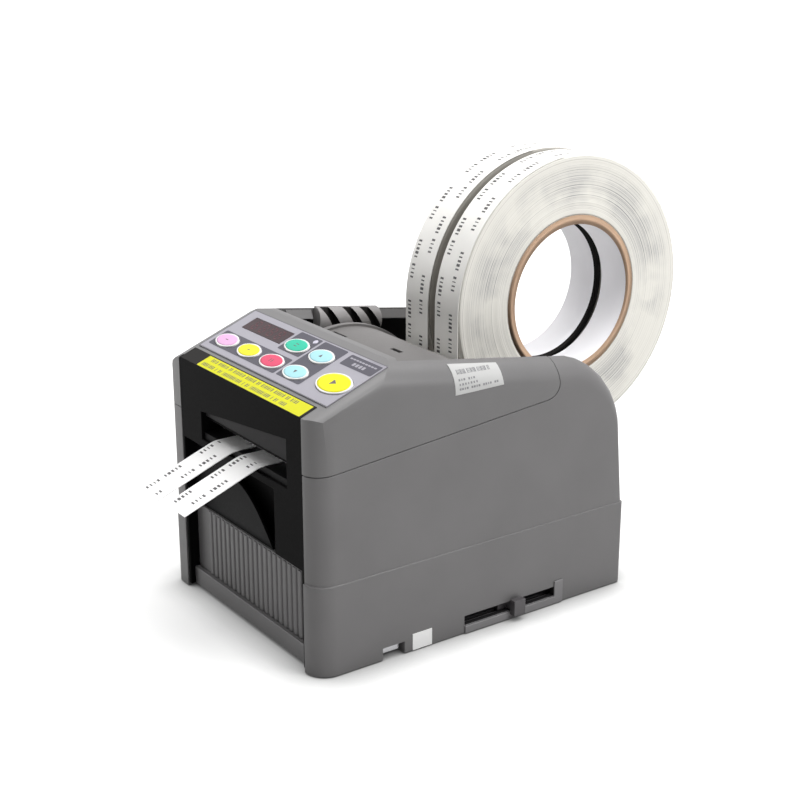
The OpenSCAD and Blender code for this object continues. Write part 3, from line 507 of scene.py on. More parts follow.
def panel_slab(shape, outline, low, high):
    """Adds a thin slab with the given outline to a bmesh, between two lifts."""
    bottom = [shape.verts.new(on_panel(x, s, low)) for x, s in outline]
    top = [shape.verts.new(on_panel(x, s, high)) for x, s in outline]
    shape.faces.new(top)
    shape.faces.new(list(reversed(bottom)))
    count = len(outline)
    for i in range(count):
        j = (i + 1) % count
        shape.faces.new((bottom[i], bottom[j], top[j], top[i]))


def panel_print(name, outlines, material, low, high):
    """Piece made of thin slabs on the panel."""
    shape = bmesh.new()
    for outline in outlines:
        panel_slab(shape, outline, low, high)
    return new_piece(name, shape, material, "machine")


ink_t = 0.05
film = grained("film", (0.36, 0.35, 0.39), rough=0.5, grain=2600, depth=0.03, uneven=0.03, shine=0.12)
dark_print = grained("dark_print", (0.105, 0.102, 0.122), rough=0.5, grain=2600, depth=0.02, shine=0.08)
dress("control_sheet", film, width=0.12, segments=1)
fields = [round_rect(-52.8, 16.2, 10.0, 28.4, 1.0), round_rect(-9.2, 31.2, 10.2, 46.6, 1.0),
          round_rect(11.8, 16.6, 32.2, 46.6, 1.0), round_rect(35.8, 38.0, 61.0, 46.0, 0.8)]


def ring_faces(shape, outer, holes, lift):
    """Flat field with round holes, filled between its edges."""
    edges = []
    for loop in [outer] + holes:
        verts = [shape.verts.new(on_panel(x, s, lift)) for x, s in loop]
        edges += [shape.edges.new((verts[i], verts[(i + 1) % len(verts)])) for i in range(len(verts))]
    bmesh.ops.triangle_fill(shape, use_beauty=True, edges=edges)


key_places = {"pink_button": (-42.8, 22.2), "yellow_button": (-21.4, 22.2), "red_button": (0, 22.2),
              "lower_blue_button": (21.4, 22.2), "green_button": (0.5, 37), "upper_blue_button": (22.4, 37),
              "start_button": (49.3, 25.8)}
small_key = (17.8, 10.4)
start_key = (23.6, 14.6)
hole_gap = 0.3
lens_place = (6.8, 44)
lens_hole = 3.5
fields_shape = bmesh.new()
for field in fields:
    inside = [p for n, p in key_places.items() if n != "start_button"
              and min(q[0] for q in field) < p[0] < max(q[0] for q in field)
              and min(q[1] for q in field) < p[1] < max(q[1] for q in field)]
    holes = [oval(x, s, small_key[0] + 2 * hole_gap, small_key[1] + 2 * hole_gap) for x, s in inside]
    if field is fields[1]:
        holes.append(oval(*lens_place, lens_hole, lens_hole, 24))
    ring_faces(fields_shape, field, holes, sheet_t + ink_t)
bmesh.ops.recalc_face_normals(fields_shape, faces=fields_shape.faces)
for face in fields_shape.faces:
    if face.normal.z < 0:
        face.normal_flip()
new_piece("key_fields", fields_shape, dark_print, "machine")

sheet_line = grained("sheet_line", (0.10, 0.095, 0.11), rough=0.45, grain=2400, depth=0.02)
sheet_x0, sheet_x1, sheet_s0, sheet_s1 = -55.9, 61.8, 12.3, 47.9
line_w = 0.55
panel_print("sheet_outline", [round_rect(sheet_x0, sheet_s1 - line_w, sheet_x1, sheet_s1, 0.2, 2),
                              round_rect(sheet_x0, sheet_s0, sheet_x0 + line_w, sheet_s1 - line_w, 0.2, 2),
                              round_rect(sheet_x0 + line_w, sheet_s0, sheet_x1, sheet_s0 + line_w, 0.2, 2)],
            sheet_line, sheet_t, sheet_t + ink_t)
plate_bars = [round_rect(37.6 + 2.4 * i, 43.3, 39.5 + 2.4 * i, 44.2, 0.2, 2) for i in range(9)]
plate_bars += [round_rect(43.4 + 2.6 * i, 39.8, 45.2 + 2.6 * i, 41.9, 0.3, 2) for i in range(4)]
plate_bars.append(round_rect(49.0, 46.7, 60.8, 47.1, 0.15, 2))
panel_print("plate_bars", plate_bars, film, sheet_t + ink_t, sheet_t + 2 * ink_t)

caution_yellow = grained("caution_yellow", (0.65, 0.64, 0.03), rough=0.5, grain=2400, depth=0.02, uneven=0.03,
                         shine=0.08)
caution_black = grained("caution_black", (0.014, 0.013, 0.0125), rough=0.5, grain=2400, depth=0.02, shine=0.06)
dress("caution_strip", caution_black, width=0.08, segments=1)
panel_print("caution_band", [round_rect(-39.2, 1.1, 55.9, 9.5, 0.4)], caution_yellow, 0.3, 0.34)


# Display: a dark tinted window in the sheet with a digit block behind it.
# Four unlit seven-bar digits show faintly through the tint.
window_tint, tree, shader = node_material("window_tint")
place = add(tree, "ShaderNodeTexCoord")
haze = add(tree, "ShaderNodeTexNoise", Scale=90.0, Detail=2.0)
tint = add(tree, "ShaderNodeValToRGB")
tint.color_ramp.elements[0].color = (0.030, 0.016, 0.020, 1)
tint.color_ramp.elements[1].color = (0.055, 0.026, 0.032, 1)
tree.links.new(place.outputs["Object"], haze.inputs["Vector"])
tree.links.new(haze.outputs["Fac"], tint.inputs["Fac"])
tree.links.new(tint.outputs["Color"], shader.inputs["Base Color"])
shader.inputs["Roughness"].default_value = 0.22
shader.inputs["Specular IOR Level"].default_value = 0.12
dress("display_window", window_tint, width=0.15)
digit_red = grained("digit_red", (0.095, 0.024, 0.032), rough=0.3, grain=1500, depth=0.01, shine=0.1)
bars = []
digit_w, digit_h, bar_w = 3.6, 6.2, 0.55
digit_x, s0, digit_pitch = -42.2, 35.7, 7.4
for i in range(4):
    x0 = digit_x + digit_pitch * i
    for s in (s0, s0 + digit_h / 2, s0 + digit_h):
        bars.append(round_rect(x0 + 0.5, s - bar_w / 2, x0 + digit_w - 0.5, s + bar_w / 2, 0.25, 2))
    for x in (x0, x0 + digit_w):
        for s in (s0 + 0.5, s0 + digit_h / 2 + 0.5):
            bars.append(round_rect(x - bar_w / 2, s, x + bar_w / 2, s + digit_h / 2 - 1, 0.25, 2))
panel_print("digit_bars", bars, digit_red, sheet_t + 0.1, sheet_t + 0.13)
board_green = grained("board_green", (0.02, 0.10, 0.035), rough=0.4, grain=600, depth=0.05, coat=0.3)
dress("digit_display", satin_black)
dress("display_board", board_green, width=0.1, segments=1)
lens_white = grained("lens_white", (0.52, 0.50, 0.60), rough=0.22, grain=1500, depth=0.02, coat=0.5)
dress("indicator_led", lens_white, width=0.5, segments=3)


# Keys: seven oval caps with a white rim and a coloured, slightly domed face.
# Each cap is moulded in one piece with its flange and carries a plain sign.
cap_white = grained("cap_white", (0.80, 0.80, 0.79), rough=0.45, grain=2000, depth=0.02, uneven=0.02, shine=0.15)
sign_ink = grained("sign_ink", (0.09, 0.07, 0.08), rough=0.5, grain=2000, depth=0.02)
key_colours = {"pink_button": (0.72, 0.42, 0.66), "yellow_button": (0.80, 0.76, 0.04),
               "red_button": (0.66, 0.085, 0.16), "green_button": (0.045, 0.50, 0.34),
               "upper_blue_button": (0.38, 0.68, 0.74), "lower_blue_button": (0.38, 0.68, 0.74),
               "start_button": (0.82, 0.78, 0.02)}
key_rise = 0.7
dome_rise = 0.2
rim_w = 0.9
face_lift = 0.03
dome_steps, dome_rings = 48, 6


def bar(x, s, width, height):
    """Rectangle outline round a centre."""
    return round_rect(x - width / 2, s - height / 2, x + width / 2, s + height / 2, min(width, height) * 0.3, 3)


def arrow(x, s, size, way):
    """Triangle that points up or down the slope."""
    return [(x - size, s - way * size * 0.8), (x + size, s - way * size * 0.8), (x, s + way * size)][::way]


def key_sign(node, x, s):
    """Plain sign for a key: bars, arrows or a start mark."""
    if node == "pink_button":
        return [bar(x, s, 2.4, 0.5)]
    if node == "yellow_button":
        return [bar(x, s, 2.2, 0.5)]
    if node == "red_button":
        return [bar(x - 0.9, s, 0.5, 2.2), bar(x + 0.9, s, 0.5, 2.2)]
    if node == "green_button":
        return [bar(x, s - 0.8, 2.4, 0.45), bar(x, s + 0.8, 2.4, 0.45)]
    if node == "upper_blue_button":
        return [arrow(x, s, 1.1, 1)]
    if node == "lower_blue_button":
        return [arrow(x, s, 1.1, -1)]
    return [[(x - 1.5, s - 1.9), (x + 2.1, s), (x - 1.5, s + 1.9)]]


for node, (x, s) in key_places.items():
    width, length = start_key if node == "start_button" else small_key
    face_w, face_l = width - 2 * rim_w, length - 2 * rim_w
    face_colour = grained(node + "_face", key_colours[node], rough=0.45, grain=1800, depth=0.02, uneven=0.03,
                          shine=0.12)
    dress(node, cap_white, width=0.35, segments=3)
    top = sheet_t + key_rise
    dome = bmesh.new()
    rings = []
    for k in range(dome_rings):
        share = 1 - k / dome_rings
        lift = top + dome_rise * (1 - share * share) + face_lift
        loop = oval(x, s, face_w * share, face_l * share, dome_steps)
        rings.append([dome.verts.new(on_panel(px, ps, lift)) for px, ps in loop])
    peak = dome.verts.new(on_panel(x, s, top + dome_rise + face_lift))
    foot = oval(x, s, face_w, face_l, dome_steps)
    rings.insert(0, [dome.verts.new(on_panel(px, ps, top - 0.2)) for px, ps in foot])
    for inner, outer in zip(rings[1:], rings):
        for i in range(dome_steps):
            j = (i + 1) % dome_steps
            dome.faces.new((outer[i], outer[j], inner[j], inner[i]))
    for i in range(dome_steps):
        dome.faces.new((rings[-1][i], rings[-1][(i + 1) % dome_steps], peak))
    dome.faces.new(list(reversed(rings[0])))
    for face in dome.faces:
        face.smooth = len(face.verts) < 5
    new_piece(node + "_top", dome, face_colour, body_of_node(node))
    sign = bmesh.new()
    for outline in key_sign(node, x, s):
        panel_slab(sign, outline, top + 0.1, top + dome_rise + 0.05)
    new_piece(node + "_sign", sign, sign_ink, body_of_node(node))


# Mechanism: two plated frame plates carry the feed roller, pinch roller, guide
# roller and cutter. Rollers are rubber or nylon, the blades are blackened steel,
# the pinion, bushes and crank are brass and the feed gear is nylon.
turned_brass = metal("turned_brass", (0.62, 0.45, 0.17), rough=0.3, brush=(900.0, 60.0, 60.0))
milled_alloy = metal("milled_alloy", (0.60, 0.60, 0.62), rough=0.36)
black_steel = metal("black_steel", (0.045, 0.045, 0.05), rough=0.42, brush=(1500.0, 60.0, 60.0))
white_nylon = grained("white_nylon", (0.66, 0.645, 0.58), rough=0.42, grain=700, depth=0.04)
mechanism = {
    zinc_plate: ["left_frame", "right_frame", "tape_table", "pinch_arms"],
    bright_steel: ["frame_spacers", "cutter_motor", "feed_motor"],
    black_steel: ["fixed_blade", "moving_blade", "blade_posts"],
    milled_alloy: ["blade_bed", "blade_carriage"],
    turned_brass: ["shaft_bushes", "motor_pinion", "crank_disc"],
    soft_rubber: ["feed_roller", "pinch_roller"],
    white_nylon: ["feed_gear", "guide_roller", "front_support_roller", "rear_support_roller"],
    board_green: ["control_board"],
    satin_black: ["power_jack"],
}
for finish, members in mechanism.items():
    for node in members:
        dress(node, finish, width=0.15, segments=2)


# Bay: a pale bent cover lies over the feed unit, the far cheek is lined in
# black and carries a half-round grey block with slanted vents, and a dark
# bracket holds the two support rollers.
bay_grey = grained("bay_grey", (0.15, 0.144, 0.142), rough=0.5, grain=1300, depth=0.05, shine=0.2)
vent_grey = grained("vent_grey", (0.25, 0.24, 0.24), rough=0.45, grain=1300, depth=0.05)
# Painted shade: the walls and floors of the vents are painted near black.
vent_painted_shade = grained("vent_painted_shade", (0.03, 0.028, 0.028), rough=0.5, grain=1300, depth=0.05, shine=0.2)
dress("feed_cover", bay_grey, width=0.5, segments=3)
dress("left_liner", satin_black)
vents = dress("vent_block", vent_grey, width=0.3, segments=2)
vent_floor_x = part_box("vent_block")[0].x + 2.3 * MM


def vent_slot(face):
    """Tells whether a face is a wall or the floor of a vent."""
    wall = abs(face.normal.x) < 0.05 and abs(face.normal.z) > 0.3
    return wall or (face.normal.x > 0.5 and face.center.x < vent_floor_x)


# The vent walls and floors get the painted shade.
second_finish(vents, vent_painted_shade, vent_slot)
dress("roll_cradle", guide_grey, width=0.5, segments=3)


# Cheek bead: the inner upper edge of the far cheek slopes inwards above the
# black lining, before and behind the vented block. It is moulded in one with
# the top cover.
bead_x, bead_in, bead_bite = -57.5, 2.6, 0.2
bead_top, bead_foot = 0.9, 5.3
bead_front, bead_rear = (63.0, 140.9), (141.6, 129.2)
vent_ends = [(corner.y - front_y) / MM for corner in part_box("vent_block")]
bead_shape = bmesh.new()
for run in ((bead_front[0], vent_ends[0]), (vent_ends[1], bead_rear[0])):
    ends = []
    for y in run:
        share = (y - bead_front[0]) / (bead_rear[0] - bead_front[0])
        z = bead_front[1] + (bead_rear[1] - bead_front[1]) * share
        corners = ((bead_x - bead_bite, z - bead_top), (bead_x + bead_bite, z - bead_top),
                   (bead_x + bead_in, z - bead_foot), (bead_x - bead_bite, z - bead_foot))
        ends.append([bead_shape.verts.new(spot(x, y, height)) for x, height in corners])
    for k in range(4):
        n = (k + 1) % 4
        bead_shape.faces.new((ends[0][k], ends[0][n], ends[1][n], ends[1][k]))
    bead_shape.faces.new(ends[0][::-1])
    bead_shape.faces.new(ends[1])
bmesh.ops.recalc_face_normals(bead_shape, faces=bead_shape.faces)
new_piece("cheek_bead", bead_shape, cover_grey, "machine")


# Rolls: white tape wound on cardboard cores. The sides show the edges of many
# layers as fine rings with grey streaks. The two sides that face each other
# are painted grey as shade, and the cores are painted near black there as shade.
roll_low, roll_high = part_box("near_roll")
far_low, far_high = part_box("far_roll")
core_low, core_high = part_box("near_core")
roll_axis = (roll_low + roll_high) / 2
roll_r = (roll_high.z - roll_low.z) / 2
core_r = (core_high.z - core_low.z) / 2
core_t = 4.7
core_bore_r = core_r - core_t * MM


def axis_radius(tree):
    """Distance from the roll's axis, from Object coordinates."""
    place = add(tree, "ShaderNodeTexCoord")
    centred = add(tree, "ShaderNodeMapping", Location=(0, -roll_axis.y, -roll_axis.z))
    flat = add(tree, "ShaderNodeVectorMath", operation="MULTIPLY")
    flat.inputs[1].default_value = (0, 1, 1)
    length = add(tree, "ShaderNodeVectorMath", operation="LENGTH")
    tree.links.new(place.outputs["Object"], centred.inputs["Vector"])
    tree.links.new(centred.outputs["Vector"], flat.inputs[0])
    tree.links.new(flat.outputs["Vector"], length.inputs[0])
    return centred.outputs["Vector"], length.outputs["Value"]


def ramp(tree, source, stops):
    """Colour ramp fed by a value."""
    node = add(tree, "ShaderNodeValToRGB")
    while len(node.color_ramp.elements) < len(stops):
        node.color_ramp.elements.new(0.5)
    for element, (position, colour) in zip(node.color_ramp.elements, stops):
        element.position = position
        element.color = (*colour, 1)
    tree.links.new(source, node.inputs["Fac"])
    return node.outputs["Color"]


def mix_colour(tree, factor, first, second, way="MIX"):
    """Mixes two colour sockets."""
    node = add(tree, "ShaderNodeMix", data_type="RGBA", blend_type=way)
    if isinstance(factor, float):
        node.inputs["Factor"].default_value = factor
    else:
        tree.links.new(factor, node.inputs["Factor"])
    tree.links.new(first, node.inputs[6])
    tree.links.new(second, node.inputs[7])
    return node.outputs[2]


tape_edge, tree, shader = node_material("tape_edge")
link = tree.links.new
centred, radius = axis_radius(tree)
rings = add(tree, "ShaderNodeTexNoise", noise_dimensions="1D", Scale=1.0, Detail=5.0)
scaled = add(tree, "ShaderNodeMath", operation="MULTIPLY")
scaled.inputs[1].default_value = 1700.0
link(radius, scaled.inputs[0])
link(scaled.outputs[0], rings.inputs["W"])
patches = add(tree, "ShaderNodeTexNoise", Scale=34.0, Detail=3.0)
link(centred, patches.inputs["Vector"])
layer_tone = ramp(tree, rings.outputs["Fac"], [(0.30, (0.72, 0.70, 0.645)), (0.45, (0.87, 0.85, 0.785)),
                                               (0.70, (0.95, 0.93, 0.87))])
streak_tone = ramp(tree, rings.outputs["Fac"], [(0.34, (0.30, 0.295, 0.30)), (0.55, (0.80, 0.785, 0.74))])
where = ramp(tree, patches.outputs["Fac"], [(0.42, (0, 0, 0)), (0.60, (1, 1, 1))])
depth = add(tree, "ShaderNodeMapRange", **{"From Min": core_r, "From Max": roll_r})
link(radius, depth.inputs["Value"])
zone = ramp(tree, depth.outputs["Result"], [(0.05, (0.25, 0.25, 0.25)), (0.25, (1, 1, 1)), (0.62, (1, 1, 1)),
                                            (0.9, (0.12, 0.12, 0.12))])
streaked = mix_colour(tree, 1.0, where, zone, "MULTIPLY")
link(mix_colour(tree, streaked, layer_tone, streak_tone), shader.inputs["Base Color"])
bump = add(tree, "ShaderNodeBump", Strength=0.25, Distance=0.0003)
link(rings.outputs["Fac"], bump.inputs["Height"])
link(bump.outputs["Normal"], shader.inputs["Normal"])
shader.inputs["Roughness"].default_value = 0.6

tape_face = grained("tape_face", (0.95, 0.935, 0.90), rough=0.42, grain=240, depth=0.04, uneven=0.05)
card_brown = grained("card_brown", (0.58, 0.39, 0.265), rough=0.85, grain=1100, depth=0.25, uneven=0.12)
card_white = grained("card_white", (0.94, 0.93, 0.95), rough=0.75, grain=500, depth=0.06, uneven=0.03)
# Painted shade: near black on the core ends and grey on the tape sides where the two rolls face each other.
painted_core_shade = grained("painted_core_shade", (0.022, 0.021, 0.02), rough=0.8, grain=900, depth=0.05, shine=0.1)
painted_gap_shade = grained("painted_gap_shade", (0.44, 0.42, 0.385), rough=0.8, grain=900, depth=0.05, shine=0.1)


def lathe(profile, materials, name, body, replaced, steps=180):
    """Closed ring round the roll axis; each profile point is x, radius and finish."""
    shape = bmesh.new()
    loops = []
    for i in range(steps):
        turn = 2 * math.pi * i / steps
        loops.append([shape.verts.new((x, roll_axis.y + r * math.cos(turn), roll_axis.z + r * math.sin(turn)))
                      for x, r, _ in profile])
    count = len(profile)
    for i in range(steps):
        a, b = loops[i], loops[(i + 1) % steps]
        for k in range(count):
            n = (k + 1) % count
            face = shape.faces.new((a[k], a[n], b[n], b[k]))
            face.material_index = profile[k][2]
            face.smooth = True
    bmesh.ops.recalc_face_normals(shape, faces=shape.faces)
    piece = new_piece(name, shape, materials, body, [replaced])
    even = piece.modifiers.new("even", "WEIGHTED_NORMAL")
    even.keep_sharp = False


def wound_tape(x0, x1, seed, left_finish, right_finish):
    """Profile of a roll whose layers stand out a little unevenly at its sides."""
    draw = random.Random(seed)
    steps = 26
    radii = [core_r + (roll_r - core_r) * k / steps for k in range(steps + 1)]
    lip = 0.35 * MM
    inward = [draw.uniform(0, 0.28) * MM for _ in radii]
    right = [(x1 - d, r, right_finish) for r, d in zip(radii[:-1], inward)] + [(x1 - lip, roll_r, 1)]
    left = [(x0 + d, r, left_finish) for r, d in zip(radii[:-1], inward[::-1])]
    return right + [(x0 + lip, roll_r, left_finish)] + left[::-1]


def card_ring(x0, x1, left_finish, right_finish):
    """Profile of a cardboard core: cut ends, white paper inside."""
    return [(x0, core_bore_r, 1), (x1, core_bore_r, right_finish), (x1, core_r, 0), (x0, core_r, left_finish)]


near_body = body_of_node("near_roll")
far_body = body_of_node("far_roll")
tape_finishes = [tape_edge, tape_face, painted_gap_shade]
card_finishes = [card_brown, card_white, painted_core_shade]
# Finish 2 puts the painted shade on the sides of the rolls and cores that face each other.
lathe(wound_tape(roll_low.x, roll_high.x, 3, 2, 0), tape_finishes, "near_tape_roll", near_body, "near_roll")
lathe(wound_tape(far_low.x, far_high.x, 8, 0, 2), tape_finishes, "far_tape_roll", far_body, "far_roll")
lathe(card_ring(roll_low.x, roll_high.x, 2, 0), card_finishes, "near_card_core", near_body, "near_core")
lathe(card_ring(far_low.x, far_high.x, 0, 2), card_finishes, "far_card_core", far_body, "far_core")


# Printed marks: rows of short dashes on the outer layer of each roll and on
# the tape that runs to the outlet. A geometry node tree sets one flat dash on
# each point of a row, turned along the tape.
dash_tree, dash_in, dash_out = geometry_tree("dash_row")
name_inputs(dash_tree, {"Length": "Float", "Width": "Float", "Thickness": "Float", "Material": "Material"})
link = dash_tree.links.new
dash_size = add(dash_tree, "ShaderNodeCombineXYZ")
for label, axis in (("Length", "X"), ("Width", "Y"), ("Thickness", "Z")):
    link(dash_in.outputs[label], dash_size.inputs[axis])
dash = add(dash_tree, "GeometryNodeMeshCube")
link(dash_size.outputs[0], dash.inputs["Size"])
along = add(dash_tree, "GeometryNodeInputNamedAttribute", data_type="FLOAT_VECTOR", Name="along")
upward = add(dash_tree, "GeometryNodeInputNamedAttribute", data_type="FLOAT_VECTOR", Name="upward")
share = add(dash_tree, "GeometryNodeInputNamedAttribute", data_type="FLOAT_VECTOR", Name="share")
turn = add(dash_tree, "FunctionNodeAxesToRotation", primary_axis="Z", secondary_axis="X")
link(upward.outputs[0], turn.inputs["Primary Axis"])
link(along.outputs[0], turn.inputs["Secondary Axis"])
copies = add(dash_tree, "GeometryNodeInstanceOnPoints")
link(dash_in.outputs["Geometry"], copies.inputs["Points"])
link(dash.outputs[0], copies.inputs["Instance"])
link(turn.outputs[0], copies.inputs["Rotation"])
link(share.outputs[0], copies.inputs["Scale"])
close_tree(dash_tree, copies, dash_in, dash_out)


def dashes(name, points, length, width, thickness, material, body):
    """Flat marks at points given as place, direction, outward direction and share of the length."""
    mesh = bpy.data.meshes.new(name + "_points")
    mesh.from_pydata([p[0] for p in points], [], [])
    for label, values in (("along", [p[1] for p in points]), ("upward", [p[2] for p in points]),
                          ("share", [(p[3], 1, 1) for p in points])):
        attribute = mesh.attributes.new(label, "FLOAT_VECTOR", "POINT")
        attribute.data.foreach_set("vector", [c for v in values for c in v])
    piece = run_tree(dash_tree, name, {"Length": length, "Width": width, "Thickness": thickness,
                                       "Material": material}, mesh)
    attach(piece, body)
    return piece


mark_ink = grained("mark_ink", (0.075, 0.072, 0.075), rough=0.6, grain=1500, depth=0.02)
mark_pattern = [1.0, 0.7, 1.1, 1.4, 0.8, 0.0, 1.1, 0.5, 0.7, 0.9, 0.0, 0.0, 0.0, 0.0, 0.0]
mark_pitch = 2.1
mark_length = 1.0
mark_width = 2.5
mark_rows = [(-6.2, 0), (3.6, 7)]
mark_t = 0.03
ink_lift = 0.02


def tape_marks(name, points, body):
    """Printed marks of a tape that rides on a body."""
    dashes(name, points, mark_length * MM, mark_width * MM, mark_t * MM, mark_ink, body)


def roll_marks(x_centre, phase):
    """Points of two rows of marks round a roll."""
    count = int(2 * math.pi * roll_r / MM / mark_pitch / len(mark_pattern)) * len(mark_pattern)
    points = []
    for offset, shift in mark_rows:
        for i in range(count):
            size = mark_pattern[(i + shift) % len(mark_pattern)]
            if size == 0:
                continue
            turn = 2 * math.pi * (i + phase) / count
            outward = Vector((0, math.cos(turn), math.sin(turn)))
            ahead = Vector((0, -math.sin(turn), math.cos(turn)))
            place = Vector((x_centre + offset * MM, roll_axis.y, roll_axis.z)) + outward * (roll_r + ink_lift * MM)
            points.append((place, ahead, outward, size))
    return points


band_pattern = [0.8, 1.0, 0.5, 1.0, 0.0, 1.1, 0.7, 1.0, 0.9, 0.6, 1.0, 0.0, 0.9, 0.9, 0.0, 1.0, 0.5, 1.0]
band_pitch, band_lift = 1.45, 0.35
band_points = []
for s, x_first, x_last in ((7.5, -33.5, 47.5), (3.5, -36.5, 42.5)):
    for i in range(int((x_last - x_first) / band_pitch)):
        size = band_pattern[i * (1 if s > 5 else 5) % len(band_pattern)]
        if size:
            place = on_panel(x_first + band_pitch * i, s, band_lift)
            band_points.append((place, Vector((1, 0, 0)), -press_axis, size))
dashes("band_marks", band_points, 0.75 * MM, 2.2 * MM, mark_t * MM, mark_ink, "machine")
tape_marks("near_roll_marks", roll_marks((roll_low.x + roll_high.x) / 2, 0.0), near_body)
tape_marks("far_roll_marks", roll_marks((far_low.x + far_high.x) / 2, 1.7), far_body)


# Tapes: each outer layer lifts off its roll and runs under the guide roller,
# between feed and pinch roller and past the blade. The white film's free ends
# hang out of the outlet.
strip_white = grained("strip_white", (0.95, 0.945, 0.94), rough=0.36, grain=300, depth=0.04, uneven=0.03)
bay_y = spot(0, 20, 0).y
for node in ("near_tape", "far_tape"):
    tape = dress(node, strip_white, width=0.05, segments=1, crease=40)
    second_finish(tape, tape_face, lambda face: face.center.y > bay_y)
lip_y = 2.2
tape_z = 91.6
tape_t = 0.4
hang_r = 14
hang_turn = math.radians(21)
far_hang = 40.5
near_hang = 40


def strip_marks(x_centre, hang, phase):
    """Points of two rows of marks on the free end of a tape."""
    points = []
    bend_r = hang_r + tape_t
    bend = hang_turn * bend_r
    for offset, shift in mark_rows:
        for i in range(int((bend + hang) / mark_pitch)):
            run = mark_pitch * (i + 0.7)
            size = mark_pattern[(i + shift + phase) % len(mark_pattern)]
            angle = min(run, bend) / bend_r
            outward = Vector((0, -math.sin(angle), math.cos(angle)))
            ahead = Vector((0, -math.cos(angle), -math.sin(angle)))
            place = spot(0, lip_y, tape_z - hang_r) + (outward * bend_r + ahead * max(0, run - bend)) * MM
            place.x = x_centre + offset * MM
            if size and run < bend + hang - 1:
                points.append((place + outward * ink_lift * MM, ahead, outward, size))
    return points


print_room = 0.07
leave_gap = 0.3
wrap_start = math.radians(96)
wrap_turn = math.pi - wrap_start
web_run = 34


def wrap_radii(share):
    """Inner and outer radius of the layer that leaves a roll, at a share of its turn."""
    ease = share * share * (3 - 2 * share)
    inner = print_room + (leave_gap - print_room) * ease
    thin = 0.05
    return roll_r + inner * MM, roll_r + (inner + thin + (tape_t - thin) * ease) * MM


def tape_wrap(name, node):
    """Outermost layer of a roll, which lifts off and becomes the threaded tape."""
    low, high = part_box(node)
    shape = bmesh.new()
    rows = []
    steps = 48
    for i in range(steps + 1):
        turn = wrap_start + wrap_turn * i / steps
        inner, outer = wrap_radii(i / steps)
        rows.append([shape.verts.new((x, roll_axis.y + r * math.cos(turn), roll_axis.z + r * math.sin(turn)))
                     for x, r in ((low.x, inner), (high.x, inner), (high.x, outer), (low.x, outer))])
    for a, b in zip(rows, rows[1:]):
        for k in range(4):
            n = (k + 1) % 4
            shape.faces.new((a[k], a[n], b[n], b[k]))
    shape.faces.new(rows[0])
    shape.faces.new(rows[-1][::-1])
    bmesh.ops.recalc_face_normals(shape, faces=shape.faces)
    for face in shape.faces:
        face.smooth = True
    for edge in shape.edges:
        edge.smooth = edge.calc_face_angle(0) < 0.5
    new_piece(name, shape, tape_face, "machine")


def web_marks(x_centre, phase):
    """Points of two rows of marks on the tape between a roll and the guide roller."""
    points = []
    wrap_length = wrap_turn * roll_r / MM
    for offset, shift in mark_rows:
        for i in range(int((wrap_length + web_run) / mark_pitch)):
            size = mark_pattern[(i + shift + phase) % len(mark_pattern)]
            run = mark_pitch * (i + 0.5)
            share = min(1, run / wrap_length)
            turn = wrap_start + wrap_turn * share
            outward = Vector((0, math.cos(turn), math.sin(turn)))
            ahead = Vector((0, -math.sin(turn), math.cos(turn)))
            place = roll_axis + outward * (wrap_radii(share)[1] + ink_lift * MM)
            place += ahead * max(0, run - wrap_length) * MM
            place.x = x_centre + offset * MM
            if size:
                points.append((place, ahead, outward, size))
    return points


near_x = sum(c.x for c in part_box("near_tape")) / 2
far_x = sum(c.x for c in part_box("far_tape")) / 2
tape_marks("near_strip_marks", strip_marks(near_x, near_hang, 0), "machine")
tape_marks("far_strip_marks", strip_marks(far_x, far_hang, 4), "machine")
tape_wrap("near_tape_wrap", "near_tape")
tape_wrap("far_tape_wrap", "far_tape")
tape_marks("near_web_marks", web_marks(near_x, 2), "machine")
tape_marks("far_web_marks", web_marks(far_x, 9), "machine")


# Side fittings: a grey moulded rail below the slot, the dark slider knob, a
# bright spring clip in the skirt's notch and two white labels stuck on.
slider_grey = grained("slider_grey", (0.075, 0.070, 0.074), rough=0.4, grain=900, depth=0.05)
rail_grey = grained("rail_grey", (0.20, 0.195, 0.20), rough=0.42, grain=1200, depth=0.04)
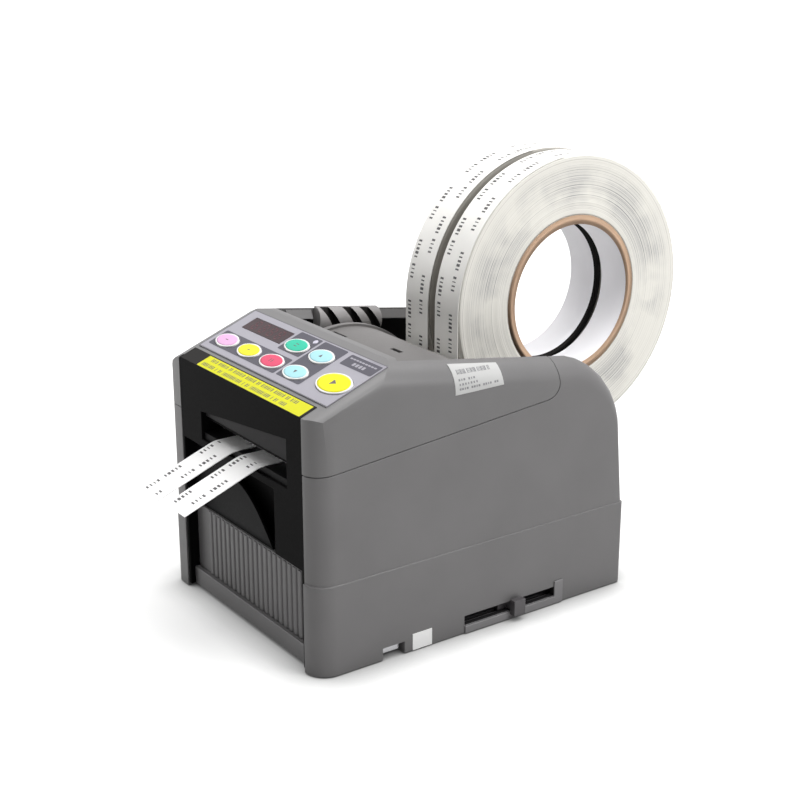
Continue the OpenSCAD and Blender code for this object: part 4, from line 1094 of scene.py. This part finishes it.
# The label paper is white; on the upper edge it is toned down to grey, a painted shade that holds back the strong
# light from above.
label_paper_painted_shade = grained("label_paper_painted_shade", (0.53, 0.53, 0.525), rough=0.55, grain=900, depth=0.05, uneven=0.02, shine=0.2)
sticker_white = grained("sticker_white", (0.94, 0.94, 0.935), rough=0.5, grain=900, depth=0.04, uneven=0.02)
dress("side_rail", rail_grey, width=0.25, segments=2)
dress("side_slider", slider_grey, width=0.5, segments=3)
dress("base_clip", bright_steel, width=0.3, segments=2)
labels = dress("labels", label_paper_painted_shade, width=0.03, segments=1, crease=50)
sticker_foot = 0.8 * MM
for corner in labels.data.vertices:
    if corner.co.z < 3 * MM:
        corner.co.z = sticker_foot
second_finish(labels, sticker_white, lambda face: face.center.z < 50 * MM)
label_ink = grained("label_ink", (0.22, 0.22, 0.23), rough=0.6, grain=1500, depth=0.02)
edge_r = 14
label_y0 = 81
label_shape = bmesh.new()
label_shape.from_mesh(nodes["labels"].data)
label_tree = BVHTree.FromBMesh(label_shape)
label_shape.free()
edge_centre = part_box("labels")[1] - Vector((edge_r, 0, edge_r)) * MM


def label_marks(turn, shares, pitch, start, count):
    """Points of one row of marks on the label that wraps the upper edge."""
    outward = Vector((math.cos(math.radians(turn)), 0, math.sin(math.radians(turn))))
    points = []
    for i in range(count):
        y = start + pitch * i
        origin = Vector((edge_centre.x, spot(0, y, 0).y, edge_centre.z)) + outward * 0.06
        place, normal, _, _ = label_tree.ray_cast(origin, -outward)
        share = shares[i % len(shares)]
        if place and share:
            points.append((place, Vector((0, 1, 0)), normal, share))
    return points


bar_code = label_marks(46, [1.0, 0.5, 0.5, 1.4, 0.5, 1.0, 1.4, 0.0], 0.8, label_y0, 26)
dashes("label_bars", bar_code, 0.45 * MM, 2.4 * MM, 0.16 * MM, label_ink, "machine")
rows = label_marks(30, [1.0, 0.6, 1.0, 0.0], 1.5, label_y0, 8) + label_marks(21, [0.7, 1.0, 0.8], 1.7, label_y0, 7)
rows += label_marks(12, [1.0, 1.0, 0.6, 1.0, 0.0], 1.4, label_y0, 17)
dashes("label_rows", rows, 1.0 * MM, 1.0 * MM, 0.1 * MM, label_ink, "machine")
